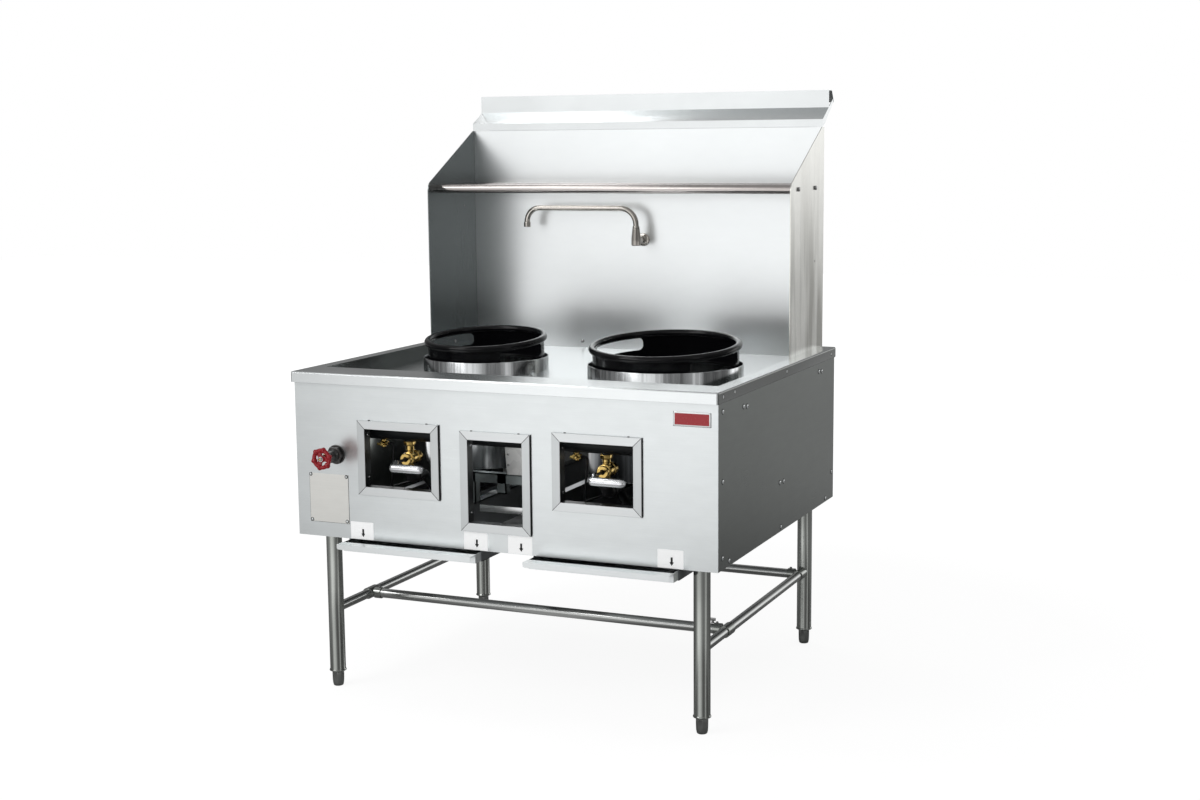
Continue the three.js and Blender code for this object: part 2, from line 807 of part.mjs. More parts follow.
function makeLink() {
  const { left, right } = burners;
  const hangerX = linkX(hangerShare);
  const alongLink = [linkLeft - channelFlange, linkRight];
  const hangerPlate = [hangerX - 2 * channelFlange, hangerX];
  const strapSide = [linkRight - channelSheet, linkRight + channelSheet];
  const strapZ = [strapBottom, strapBottom + strapHeight];
  return [
    block(alongLink, [linkY, linkY + channelSheet], [linkTop - channelFlange, linkTop]),
    block(alongLink, [linkY, linkY + channelFlange], [linkTop - channelSheet, linkTop]),
    makePost(linkLeft, -1, linkY, [left.channelTop - channelSheet / 2, linkTop]),
    makePost(linkRight, 1, linkY, [right.channelTop - channelSheet / 2, linkTop]),
    makePost(hangerX, -1, linkY, [hangerBottom, linkTop]),
    block(hangerPlate, [linkY, linkY + channelFlange], [hangerBottom, hangerBottom + channelSheet]),
    block([linkX(strapShare), linkRight], [strapY, strapY + channelSheet], strapZ),
    block(strapSide, [strapY, channelFront + channelFlange], strapZ),
  ];
}

// The heat shield is welded along the link's top, and its left edge leans.
function makeShield() {
  const bottom = linkTop - sheet / 2;
  const [left, right] = shieldShares.map(linkX);
  const footLeft = linkX(shieldShares[0] + shieldLean);
  return prism(
    [[footLeft, bottom], [right, bottom], [right, shieldTop], [left, shieldTop]],
    'y',
    [linkY, linkY + sheet],
  );
}

// Runners under the base: a web on each side of a tray and a ledge that the tray slides on.
function makeRunners(trayX) {
  const along = [sheet + fit, trayFrontWall + trayLength];
  return [-1, 1].flatMap((side) => {
    const across = (inner, outer) => [trayX + side * inner, trayX + side * outer]
      .sort((a, b) => a - b);
    return [
      block(across(runnerInner, trayHalf), along, [runnerBottom, baseUnderside + sheet / 2]),
      block(across(trayHalf - runnerLedge, trayHalf), along,
        [runnerBottom, runnerBottom + runnerSheet]),
    ];
  });
}

function makeBase() {
  const half = sidePanelInner - 2 * fit - sheet;
  const along = [sheet + fit, bodyDepth - 2 * sheet - 2 * fit];
  const plate = block([-half, half], along, [baseUnderside, baseTop]);
  const rim = cut(
    block([-half, half], along, [baseUnderside, baseTop + flange]),
    block([sheet - half, half - sheet], [along[0] + sheet, along[1] - sheet],
      [baseUnderside - 1, baseTop + flange + 1]),
  );
  const socketRadius = legRadius - legWall - fit;
  const sockets = [-legX, legX].flatMap((x) => [legFrontY, legRearY].map((y) => rod(
    socketRadius,
    [x, y, baseUnderside - socketLength],
    [x, y, baseUnderside + sheet / 2],
    tubeSides,
  )));
  const dripOpenings = Object.values(burners).map((burner) => {
    const clear = channelShare * chamberRadius(burner) - channelFlange;
    return block([burner.x - clear, burner.x + clear], [dripFront, dripRear],
      [baseUnderside - 1, baseTop + 1]);
  });
  const frontEdgeSpace = block(
    [-bodyHalf, bodyHalf],
    [-1, flange + fit],
    [bodyBottom - fit, baseUnderside],
  );
  const runners = Object.values(trays).flatMap(makeRunners);
  return join(
    cut(join(plate, rim, ...sockets, ...runners), ...dripOpenings, frontEdgeSpace),
    ...Object.values(burners).flatMap(makeStand),
    ...makeLink(),
    makeShield(),
  );
}

addPiece('base_frame', makeBase(), finishes.darkSteel);

// ---------------------------------------------------------------- legs, feet and rails

const legBottom = footHeight + fit;
const legTop = baseUnderside - fit;

// A tube with a flared lower end and a plug inside it that the foot's stem screws into.
function makeLeg() {
  const bore = footStemRadius + fit;
  const inner = legRadius - legWall;
  const flareRadius = legRadius + legFlare;
  return turned([
    [bore, legBottom],
    [flareRadius - 1, legBottom],
    [flareRadius, legBottom + 1],
    [flareRadius, legBottom + legFlareHeight / 2],
    [legRadius, legBottom + legFlareHeight],
    [legRadius, legTop],
    [inner, legTop],
    [inner, legBottom + legPlug],
    [bore, legBottom + legPlug],
    [bore, legBottom],
  ], tubeSides);
}

function makeFoot() {
  return turned([
    [0, 0],
    [footTipRadius, 0],
    [footRadius - 1, footHeight * 0.15],
    [footRadius, footHeight * 0.5],
    [footRadius, footHeight - 2],
    [footRadius - 2, footHeight],
    [footStemRadius, footHeight],
    [footStemRadius, footStemLength],
    [0, footStemLength],
  ], smallSides);
}

// A rail between the front and the rear leg, hollowed where it meets their round faces.
function makeSideRail() {
  const span = [legFrontY, legRearY];
  const outer = rod(railRadius, [0, span[0], 0], [0, span[1], 0], tubeSides);
  const bore = rod(railRadius - railWall, [0, span[0], 0], [0, span[1], 0], tubeSides);
  const legSpaces = span.map((y) => rod(
    legRadius + fit,
    [0, y, -2 * railRadius],
    [0, y, 2 * railRadius],
    tubeSides,
  ));
  return cut(outer, bore, ...legSpaces);
}

// A tee: a sleeve round the side rail and a stub towards the middle that takes the cross rail.
function makeTee(side) {
  const bore = railRadius + fit;
  const reach = [-side * teeStub, 0, 0];
  const beyond = [-side * teeStub * 2, 0, 0];
  const half = teeLength / 2;
  return cut(
    join(
      rod(teeRadius, [0, -half, 0], [0, half, 0], tubeSides),
      rod(teeRadius, [0, 0, 0], reach, tubeSides),
    ),
    rod(bore, [0, -teeLength, 0], [0, teeLength, 0], tubeSides),
    rod(bore, [0, 0, 0], beyond, tubeSides),
  );
}

function makeCrossRail() {
  const half = legX - railRadius - 2 * fit;
  return cut(
    rod(railRadius, [-half, 0, 0], [half, 0, 0], tubeSides),
    rod(railRadius - railWall, [-half - 1, 0, 0], [half + 1, 0, 0], tubeSides),
  );
}

Object.entries(sideOf).forEach(([sideName, side]) => {
  const x = side * legX;
  Object.entries({ front: legFrontY, rear: legRearY }).forEach(([place, y]) => {
    addPiece(`${place}_${sideName}_leg`, makeLeg(), finishes.legSteel, [x, y, 0]);
    addPiece(`${place}_${sideName}_foot`, makeFoot(), finishes.legSteel, [x, y, 0]);
  });
  addPiece(`${sideName}_side_rail`, makeSideRail(), finishes.legSteel, [x, 0, railHeight]);
  Object.entries(crossRailPlaces).forEach(([place, y]) => {
    const name = `${place}_${sideName}_rail_tee`;
    addPiece(name, makeTee(side), finishes.legSteel, [x, y, railHeight]);
  });
});
Object.entries(crossRailPlaces).forEach(([place, y]) => {
  addPiece(`${place}_cross_rail`, makeCrossRail(), finishes.legSteel, [0, y, railHeight]);
});

// ---------------------------------------------------------------- drip trays

// An open pan with a pull lip folded forward and down along its front. Made at the middle of the
// tray, at its own height.
function makeTray() {
  const half = runnerInner - fit;
  const top = trayBottom + trayHeight;
  const back = trayFrontWall + trayLength - fit;
  const pan = cut(
    block([-half, half], [trayFrontWall, back], [trayBottom, top]),
    block([trayWall - half, half - trayWall], [trayFrontWall + trayWall, back - trayWall],
      [trayBottom + trayWall, top + 1]),
  );
  const lipFront = trayFrontWall - trayLip;
  const lip = join(
    block([-trayHalf, trayHalf], [lipFront, trayFrontWall + trayWall], [top - trayWall, top]),
    block([-trayHalf, trayHalf], [lipFront, lipFront + trayWall], [top - trayLipHeight, top]),
  );
  const faceOutline = roundedRectangle(
    [-trayHalf, trayHalf],
    [top - trayLipHeight, top + trayLipHeight],
    trayLipCorner,
  );
  return join(pan, lip.intersect(prism(faceOutline, 'y', [lipFront - 1, trayFrontWall + 2])));
}

Object.entries(trays).forEach(([sideName, x]) => {
  addPiece(`${sideName}_drip_tray`, makeTray(), finishes.brushedSteel, [x, 0, 0]);
});

// ---------------------------------------------------------------- chambers, rings and burners

// A chamber: a steel cylinder with a ledge below its collar that carries the wok ring, a floor
// with the burner's hole, and a flue stub to the rear.
function makeChamber(burner) {
  const radius = chamberRadius(burner);
  const collarTop = rimTop - collarDrop;
  const inner = radius - collarSheet;
  const wall = turned([
    [burnerHole, chamberBottom],
    [radius, chamberBottom],
    [radius, collarTop],
    [inner, collarTop],
    [inner, seatTop],
    [inner - seatWidth, seatTop],
    [inner - seatWidth, seatTop - seatSheet],
    [inner, seatTop - seatSheet],
    [inner, chamberBottom + chamberFloor],
    [burnerHole, chamberBottom + chamberFloor],
    [burnerHole, chamberBottom],
  ], fineSides);
  const throatFront = bodyDepth - sheet - throatReach;
  const duct = (shrink, from, to) => block(
    [shrink - throatWidth / 2, throatWidth / 2 - shrink],
    [from, to],
    [throatBottom + shrink, throatBottom + throatHeight - shrink],
  );
  const stub = duct(0, 0, throatFront - fit - burnerY);
  const passage = duct(sheet, 0, throatFront - burnerY);
  const inside = rod(radius - collarSheet / 2, [0, 0, chamberBottom], [0, 0, rimTop], fineSides);
  const outside = cut(stub, inside);
  return cut(join(wall, outside), passage);
}

// A wok ring: a round bead on a skirt that stands on the chamber's ledge, tilted a little, with
// two rounded windows. Made at the chamber's axis, at its own height.
function makeRing(burner) {
  const { ring } = burner;
  const bead = new THREE.TorusGeometry(ring, ringTube, 8, fineSides);
  const skirtLength = rimTop + ringRise - seatTop + ring * Math.sin(THREE.MathUtils.degToRad(ringTilt));
  const skirt = cut(
    rod(ring, [0, 0, -skirtLength], [0, 0, 0], fineSides),
    rod(ring - ringSheet, [0, 0, -skirtLength - 1], [0, 0, 1], fineSides),
  );
  const windowWidth = 2 * ring * Math.sin(THREE.MathUtils.degToRad(ringWindowSpan / 2));
  const windowTop = -ringTube;
  const openings = ringWindowAngles.map((angle) => {
    const outline = roundedRectangle(
      [-windowWidth / 2, windowWidth / 2],
      [windowTop - ringWindowHeight, windowTop],
      ringWindowCorner,
    );
    return prism(outline, 'y', [ring / 2, 2 * ring]).rotate([0, 0, angle - 90]);
  });
  const upright = cut(join(solid(bead), skirt), ...openings);
  const placed = upright.rotate([ringTilt, 0, 0]).translate([0, 0, rimTop + ringRise]);
  const below = block([-2 * ring, 2 * ring], [-2 * ring, 2 * ring], [bodyBottom, seatTop + fit]);
  return cut(placed, below);
}

// A burner: inlet neck, bell, flange on the chamber's floor and domed head.
function makeBurner() {
  const seat = chamberBottom + chamberFloor + fit;
  const body = burnerHole - fit;
  return turned([
    [0, burnerInlet],
    [burnerNeck, burnerInlet],
    [burnerNeck, chamberBottom - 4],
    [body, chamberBottom + 1],
    [body, seat],
    [burnerFlange, seat],
    [burnerFlange, seat + 5],
    [burnerHole, seat + 9],
    [burnerHole - 4, seat + burnerRise - 12],
    [burnerHole - 18, seat + burnerRise],
    [0, seat + burnerRise],
  ], 24);
}

Object.entries(burners).forEach(([sideName, burner]) => {
  const place = [burner.x, burnerY, 0];
  addPiece(`${sideName}_chamber`, makeChamber(burner), finishes.brushedSteel, place);
  addPiece(`${sideName}_wok_ring`, makeRing(burner), finishes.blackEnamel, place);
  addPiece(`${sideName}_burner`, makeBurner(), finishes.castIron, place);
});

// ---------------------------------------------------------------- gas

const manifoldBottom = manifoldHeight - manifoldRadius;

// The manifold crosses the front behind the windows and turns back to the inlet at the rear.
function makeManifold() {
  const route = (left, rear) => [
    [left, manifoldY, manifoldHeight],
    [inletX, manifoldY, manifoldHeight],
    [inletX, rear, manifoldHeight],
  ];
  const rear = bodyDepth + inletReach;
  return cut(
    pipe(manifoldRadius, route(manifoldLeft, rear), inletBend, 16),
    pipe(manifoldRadius - manifoldWall, route(manifoldLeft + manifoldWall, rear + 1), inletBend, 8),
  );
}

// A gas valve: nut and neck under the manifold, barrel across, and an outlet nipple.
function makeGasValve({ stem }) {
  const nutTop = manifoldBottom - fit;
  const at = (y, z) => [0, y, z];
  return cut(
    join(
      rod(valveNeck, at(manifoldY, stem), at(manifoldY, nutTop)),
      rod(valveNut, at(manifoldY, nutTop - valveNutHeight), at(manifoldY, nutTop), 6),
      rod(barrelRadius, at(barrelFront + 6, stem), at(barrelRear, stem), tubeSides),
      rod(barrelRadius - 1.5, at(barrelFront, stem), at(barrelFront + 7, stem), tubeSides),
      rod(valveNeck, at(manifoldY, elbowTop + fit), at(manifoldY, stem)),
    ),
    rod(stemRadius + fit, at(barrelFront - 1, stem), at(barrelFront + stemSeat, stem)),
  );
}

// The lever's rod leaves the valve forwards, then cranks down into the grip. With a larger radius
// and an extra length it is the space for that rod.
function makeLeverRod(radius, extra) {
  const crank = new THREE.Vector3(0, gripY * 0.1, 0);
  const end = new THREE.Vector3(gripRadius - gripBehind + stemRadius, gripY, -gripDrop);
  end.addScaledVector(end.clone().sub(crank).normalize(), extra);
  const corners = [[0, barrelFront + stemSeat - fit, 0], crank.toArray(), end.toArray()];
  return pipe(radius, corners, leverBend);
}

// The grip lies along x in front of the window frame, with round ends and a hole for the rod.
function makeGrip() {
  const ends = [-gripBehind, gripLength - gripBehind];
  const round = gripRadius * 0.5;
  const bar = turned([
    [0, ends[0]],
    [gripRadius - round, ends[0]],
    [gripRadius - round * 0.3, ends[0] + round * 0.3],
    [gripRadius, ends[0] + round],
    [gripRadius, ends[1] - round],
    [gripRadius - round * 0.3, ends[1] - round * 0.3],
    [gripRadius - round, ends[1]],
    [0, ends[1]],
  ], 16).rotate([0, 90, 0]).translate([0, gripY, -gripDrop]);
  return cut(bar, makeLeverRod(stemRadius + fit, fit));
}

// The feed starts in a cast elbow under the valve, drops below the chamber and rises to the
// burner's inlet.
function makeFeed({ x, valveX }) {
  const elbowEnd = manifoldY + 30;
  const bead = elbowRadius + 2.5;
  const at = (px, y, z) => [px, y, z];
  return join(
    pipe(feedRadius, [
      at(valveX, manifoldY, elbowTop),
      at(valveX, manifoldY, elbowHeight),
      at(valveX, manifoldY + 70, elbowHeight),
      at(valveX, manifoldY + 130, feedHeight),
      at(x, burnerY, feedHeight),
      at(x, burnerY, burnerInlet - fit),
    ], feedBend, 14),
    pipe(elbowRadius, [
      at(valveX, manifoldY, elbowTop),
      at(valveX, manifoldY, elbowHeight),
      at(valveX, elbowEnd, elbowHeight),
    ], feedBend, 14),
    rod(bead, at(valveX, manifoldY, elbowTop - 8), at(valveX, manifoldY, elbowTop), 14),
    rod(bead, at(valveX, elbowEnd - 8, elbowHeight), at(valveX, elbowEnd, elbowHeight), 14),
  );
}

// A pilot valve: a nipple under the manifold, a small barrel across and a side outlet.
function makePilotValve() {
  const top = manifoldBottom - fit;
  const middle = top - pilotDrop / 2;
  const spindle = pilotBodyRadius * 0.45;
  return cut(
    join(
      rod(pilotBodyRadius, [0, manifoldY, top - pilotDrop], [0, manifoldY, top]),
      rod(pilotBodyRadius, [0, manifoldY - 16, middle], [0, manifoldY + 10, middle]),
      rod(pilotBodyRadius * 0.8, [0, manifoldY, middle], [pilotBodyRadius * 2.2, manifoldY, middle]),
    ),
    rod(spindle + fit, [0, manifoldY - 17, middle], [0, manifoldY - 6, middle]),
  );
}

// The pilot valve's key: a flat wing on a spindle.
function makePilotKey() {
  const front = manifoldY - 16 - fit;
  return join(
    rod(pilotBodyRadius * 0.45, [0, front - 1, 0], [0, manifoldY - 6 - fit, 0]),
    block([-keyWidth / 2, keyWidth / 2], [front - 5, front], [-keyHeight / 2, keyHeight / 2]),
  );
}

function makePilotTube({ x, pilotX }) {
  const middle = manifoldBottom - fit - pilotDrop / 2;
  const start = pilotX + pilotBodyRadius * 2.2 + fit;
  return pipe(pilotTubeRadius, [
    [start, manifoldY, middle],
    [pilotX + pilotTubeOut, manifoldY, middle],
    [pilotX + pilotTubeOut - 10, manifoldY, pilotTubeHeight],
    [x - pilotBodyRadius * 2, burnerY - burnerNeck - fit, pilotTubeHeight],
  ], pilotTubeBend, 8);
}

addPiece('gas_manifold', makeManifold(), finishes.blackPipe);
Object.entries(burners).forEach(([sideName, burner]) => {
  const valvePlace = [burner.valveX, 0, 0];
  const stemPlace = [burner.valveX, 0, burner.stem];
  const keyHeightPlace = manifoldBottom - fit - pilotDrop / 2;
  addPiece(`${sideName}_gas_valve`, makeGasValve(burner), finishes.brass, valvePlace);
  addPiece(`${sideName}_valve_lever`, makeLeverRod(stemRadius, 0), finishes.blackPipe, stemPlace);
  addPiece(`${sideName}_lever_grip`, makeGrip(), finishes.chrome, stemPlace);
  addPiece(`${sideName}_burner_feed`, makeFeed(burner), finishes.blackPipe);
  addPiece(`${sideName}_pilot_valve`, makePilotValve(), finishes.brass, [burner.pilotX, 0, 0]);
  addPiece(`${sideName}_pilot_key`, makePilotKey(), finishes.brass,
    [burner.pilotX, 0, keyHeightPlace]);
  addPiece(`${sideName}_pilot_tube`, makePilotTube(burner), finishes.blackPipe);
});

// ---------------------------------------------------------------- water

const bonnetFront = -locknutDepth - bonnetDepth;

// The water valve: body behind the panel, locknut and bonnet in front of it.
function makeWaterValve() {
  return cut(
    join(
      rod(valveBodyRadius, [0, -fit - 1, 0], [0, valveTail, 0], 16),
      rod(locknutRadius, [0, -locknutDepth, 0], [0, -fit, 0], 16),
      rod(bonnetRadius, [0, bonnetFront, 0], [0, -locknutDepth + 1, 0], 6),
    ),
    rod(spindleRadius + fit, [0, bonnetFront - 1, 0], [0, bonnetFront + 16, 0]),
  );
}

// The handwheel: a lobed rim with round holes, a hub nut and the spindle.
function makeHandwheel() {
  const outline = new THREE.Shape();
  const points = 48;
  const rimPoints = Array.from({ length: points }, (_, i) => {
    const angle = (i / points) * 2 * Math.PI;
    const radius = wheelRadius + wheelLobe * Math.cos(wheelLobes * angle);
    return new THREE.Vector2(radius * Math.cos(angle), radius * Math.sin(angle));
  });
  outline.setFromPoints(rimPoints);
  const holeRadius = wheelRadius * 0.17;
  const holePlace = wheelRadius * 0.58;
  for (let i = 0; i < wheelLobes; i += 1) {
    const angle = ((i + 0.5) / wheelLobes) * 2 * Math.PI;
    const hole = new THREE.Path();
    const centre = [holePlace * Math.cos(angle), holePlace * Math.sin(angle)];
    hole.absarc(...centre, holeRadius, 0, 2 * Math.PI);
    outline.holes.push(hole);
  }
  return join(
    prism(outline, 'y', [wheelFace, wheelFace + wheelThickness]),
    rod(spindleRadius * 1.6, [0, wheelFace - wheelTip, 0], [0, wheelFace + 1, 0], 6),
    rod(spindleRadius, [0, wheelFace + 1, 0], [0, bonnetFront + 16 - fit, 0]),
  );
}

// The water pipe runs back through the rear panel, up behind the deck and in behind the splash
// back to the faucet's tail.
function makeWaterPipe() {
  const behind = deckBack + fit + waterPipeRadius;
  const hidden = (splashFace + sheet + riserFront) / 2;
  const start = waterValveX - valveBodyRadius - fit;
  const pipeY = valveTail * 0.7;
  return pipe(waterPipeRadius, [
    [start, pipeY, waterValveHeight],
    [waterPipeX, pipeY, waterValveHeight],
    [waterPipeX, behind, waterValveHeight],
    [waterPipeX, behind, waterPipeJog],
    [waterPipeX, hidden, waterPipeJog + waterPipeBend * 2],
    [waterPipeX, hidden, faucetFlangeHeight],
    [faucetX - faucetTail - fit, hidden, faucetFlangeHeight],
  ], waterPipeBend, 8);
}

addPiece('water_valve', makeWaterValve(), finishes.chrome, [waterValveX, 0, waterValveHeight]);
addPiece('handwheel', makeHandwheel(), finishes.redEnamel, [waterValveX, 0, waterValveHeight]);
addPiece('water_pipe', makeWaterPipe(), finishes.galvanised);

// ---------------------------------------------------------------- faucet

function makeFaucetBody() {
  const at = (y, z) => [faucetX, y, z];
  const flangeBack = splashFace - fit;
  const neckHeight = faucetFlangeHeight;
  return join(
    rod(faucetBodyRadius, at(faucetY, faucetBodyBottom), at(faucetY, faucetBodyTop),
      smallSides, faucetTopRadius),
    rod(faucetFlangeRadius, at(flangeBack, neckHeight), at(flangeBack - 8, neckHeight), tubeSides,
      faucetFlangeRadius - 3),
    rod(faucetTopRadius, at(flangeBack - 7, neckHeight), at(faucetY, neckHeight), smallSides,
      faucetBodyRadius - 2),
    rod(faucetTail, at(flangeBack - 1, neckHeight), at(riserFront - fit, neckHeight)),
  );
}

function makeSpout() {
  const tipX = faucetX - spoutReach;
  const bendEnd = spoutHeight - spoutLastBend;
  return join(
    pipe(spoutRadius, [
      [faucetX, faucetY, faucetBodyTop + fit],
      [faucetX, faucetY, spoutHeight],
      [tipX, faucetY, spoutHeight],
      [tipX, faucetY, bendEnd - 1],
    ], [spoutFirstBend, spoutLastBend], 16),
    rod(spoutTipRadius, [tipX, faucetY, spoutTipBottom], [tipX, faucetY, bendEnd], 16),
  );
}

addPiece('faucet_body', makeFaucetBody(), finishes.chrome);
addPiece('faucet_spout', makeSpout(), finishes.chrome);

// ---------------------------------------------------------------- the whole range

const frontReach = wheelFace - wheelTip;
range.position.y = -(frontReach + capBack) / 2;
range.updateMatrixWorld(true);

export default range;
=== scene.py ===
"""Looks of the wok range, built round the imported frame.

Shape sizes are in millimetres in the range's own terms: x from the middle, y from the front
panel's face and z from the floor. at() turns them into the frame's metres.
"""

import math
from collections import namedtuple

import bmesh
import bpy
from mathutils import Matrix, Vector


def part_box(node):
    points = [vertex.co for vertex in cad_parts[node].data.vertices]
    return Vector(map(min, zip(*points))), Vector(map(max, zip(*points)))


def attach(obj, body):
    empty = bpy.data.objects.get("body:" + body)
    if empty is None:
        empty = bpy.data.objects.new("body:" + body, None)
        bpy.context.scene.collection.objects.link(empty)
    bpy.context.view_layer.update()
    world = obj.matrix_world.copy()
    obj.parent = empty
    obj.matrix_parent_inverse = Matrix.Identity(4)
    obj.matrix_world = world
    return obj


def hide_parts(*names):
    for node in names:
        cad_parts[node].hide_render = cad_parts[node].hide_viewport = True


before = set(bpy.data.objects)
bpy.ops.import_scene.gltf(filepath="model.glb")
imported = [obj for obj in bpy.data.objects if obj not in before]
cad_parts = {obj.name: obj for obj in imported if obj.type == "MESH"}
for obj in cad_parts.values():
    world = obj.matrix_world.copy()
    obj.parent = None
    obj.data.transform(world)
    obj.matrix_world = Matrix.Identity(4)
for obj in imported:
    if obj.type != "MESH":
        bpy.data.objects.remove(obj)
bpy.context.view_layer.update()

MM = 0.001
PANEL_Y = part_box("front_panel")[0][1] / MM  # the front panel's face in the frame
GAP = 0.3  # clearance between touching pieces
SHEET = 1.5
RIGHT, BACK, FRONT = (1, 0, 0), (0, 1, 0), (0, -1, 0)
UP, DOWN = (0, 0, 1), (0, 0, -1)
SIDES = {"left": -1, "right": 1}
scene = bpy.context.scene


def at(x, y, z):
    return Vector((x, y + PANEL_Y, z)) * MM


def add_object(name, data):
    thing = bpy.data.objects.new(name, data)
    bpy.context.collection.objects.link(thing)
    return thing


# ---------------- camera

PHOTO_WIDTH = 1200
FOCAL_PIXELS = 1752.3
CAMERA_PLACE = (1939.4, -3792.9, 1425.0)
CAMERA_TURN = math.radians(23.621)
CAMERA_DIP = math.radians(8.357)
CAMERA_ROLL = math.radians(-0.514)


def make_camera():
    data = bpy.data.cameras.new("camera")
    data.sensor_width = 36.0
    data.sensor_fit = "HORIZONTAL"
    data.lens = FOCAL_PIXELS * data.sensor_width / PHOTO_WIDTH
    data.clip_end = 100.0
    turn = Matrix.Rotation(CAMERA_TURN, 4, "Z")
    tilt = Matrix.Rotation(math.pi / 2 - CAMERA_DIP, 4, "X")
    roll = Matrix.Rotation(CAMERA_ROLL, 4, "Z")
    scene.camera = add_object("camera", data)
    scene.camera.matrix_world = Matrix.Translation(at(*CAMERA_PLACE)) @ turn @ tilt @ roll


make_camera()

# ---------------- materials


class Nodes:
    """The node tree of a material or a world, with short ways to add and link nodes."""

    def __init__(self, owner):
        owner.use_nodes = True
        self.owner = owner
        self.tree = owner.node_tree
        self.shader = self.tree.nodes.get("Principled BSDF")

    def put(self, socket, value):
        """Links an output to a socket, or sets the socket to a number, a vector or a colour."""
        if isinstance(value, bpy.types.NodeSocket):
            self.tree.links.new(value, socket)
        elif socket.type == "RGBA":
            socket.default_value = (*value, 1.0)
        else:
            socket.default_value = value

    def add(self, kind, inputs=(), **settings):
        node = self.tree.nodes.new(kind)
        for key, value in settings.items():
            setattr(node, key, value)
        for key, value in dict(inputs).items():
            self.put(node.inputs[key], value)
        return node

    def dress(self, inputs):
        """Sets or links inputs of the material's shader."""
        for key, value in inputs.items():
            self.put(self.shader.inputs[key], value)

    def cover(self, share, colour):
        """Lays a colour over the base colour, by share."""
        base = self.shader.inputs["Base Color"]
        self.put(base, self.tint(share, base.links[0].from_socket, colour))

    def place(self, kind):
        return self.add("ShaderNodeTexCoord").outputs[kind]

    def parts(self, kind):
        """The x, y and z of one kind of coordinates."""
        return self.add("ShaderNodeSeparateXYZ", {"Vector": self.place(kind)}).outputs

    def noise(self, size, detail, rough=0.55, scale=(1.0, 1.0, 1.0), turn=(0.0, 0.0, 0.0)):
        """Noise in object coordinates, stretched by scale along each axis and turned."""
        mapping = {"Vector": self.place("Object"), "Scale": scale, "Rotation": turn}
        vector = self.add("ShaderNodeMapping", mapping).outputs["Vector"]
        inputs = {"Vector": vector, "Scale": size, "Detail": detail, "Roughness": rough}
        return self.add("ShaderNodeTexNoise", inputs).outputs["Fac"]

    def ramp(self, source, low, high, low_out, high_out):
        """Maps source from low..high to low_out..high_out."""
        inputs = {
            "Value": source, "From Min": low, "From Max": high, "To Min": low_out,
            "To Max": high_out,
        }
        return self.add("ShaderNodeMapRange", inputs).outputs["Result"]

    def mix(self, factor, first, second, kind="FLOAT"):
        """first where factor is 0 and second where it is 1."""
        inputs = {"Factor": factor, "A": first, "B": second}
        return self.add("ShaderNodeMix", inputs, data_type=kind).outputs["Result"]

    def tint(self, factor, first, second):
        return self.mix(factor, first, second, "RGBA")

    def calc(self, operation, first, second):
        node = self.add("ShaderNodeMath", {0: first, 1: second}, operation=operation)
        return node.outputs["Value"]

    def bump(self, height, strength, distance=0.0004):
        inputs = {"Height": height, "Strength": strength, "Distance": distance}
        return self.add("ShaderNodeBump", inputs).outputs["Normal"]


def new_material(name):
    return Nodes(bpy.data.materials.new(name))


def shade(colour, factor):
    return tuple(min(1.0, channel * factor) for channel in colour)


ALONG_X = (2.0, 260.0, 260.0)
ALONG_Y = (260.0, 2.0, 260.0)
ALONG_Z = (260.0, 260.0, 2.0)


def brushed(name, colour, roughness, grain=ALONG_X, smudge=0.04, relief=0.03, streaks=0.0,
            lines=0.12):
    """Brushed stainless steel: fine grain along one axis, faint cloudy smudges and, if asked for,
    broad streaks along the grain."""
    nodes = new_material(name)
    fine = nodes.noise(3.0, 6.0, rough=0.7, scale=grain)
    clouds = nodes.noise(4.0, 4.0)
    patches = nodes.noise(17.0, 3.0, scale=(1.0, 1.0, 2.4))
    wide, small = nodes.ramp(clouds, 0.3, 0.7, 0.0, 0.7), nodes.ramp(patches, 0.35, 0.7, 0.0, 0.3)
    mottle = nodes.calc("ADD", wide, small)
    tone = nodes.tint(mottle, shade(colour, 1.0 - smudge), shade(colour, 1.0 + smudge))
    tone = nodes.tint(nodes.ramp(fine, 0.3, 0.7, 0.0, lines), tone, shade(colour, 0.7))
    if streaks:
        broad = nodes.noise(3.0, 4.0, scale=tuple(share * 0.12 for share in grain))
        tone = nodes.tint(nodes.ramp(broad, 0.42, 0.62, 0.0, streaks), tone, shade(colour, 0.25))
    swing = lines * 0.2
    rough = nodes.ramp(fine, 0.25, 0.75, roughness - swing, roughness + swing)
    nodes.dress({
        "Base Color": tone,
        "Roughness": nodes.calc("ADD", rough, nodes.ramp(clouds, 0.3, 0.7, -0.02, 0.03)),
        "Metallic": 1.0,
        "Normal": nodes.bump(fine, relief),
    })
    return nodes.owner


def polished(name, colour, roughness, relief=0.005):
    """Polished or satin metal with faint clouds and a little dust."""
    nodes = new_material(name)
    spots = nodes.noise(60.0, 4.0)
    clouds = nodes.noise(12.0, 3.0)
    nodes.dress({
        "Base Color": nodes.tint(nodes.ramp(clouds, 0.3, 0.7, 0.0, 1.0), shade(colour, 0.9), colour),
        "Roughness": nodes.ramp(spots, 0.35, 0.75, roughness, roughness + 0.05),
        "Metallic": 1.0,
        "Normal": nodes.bump(spots, relief, 0.0005),
    })
    return nodes.owner


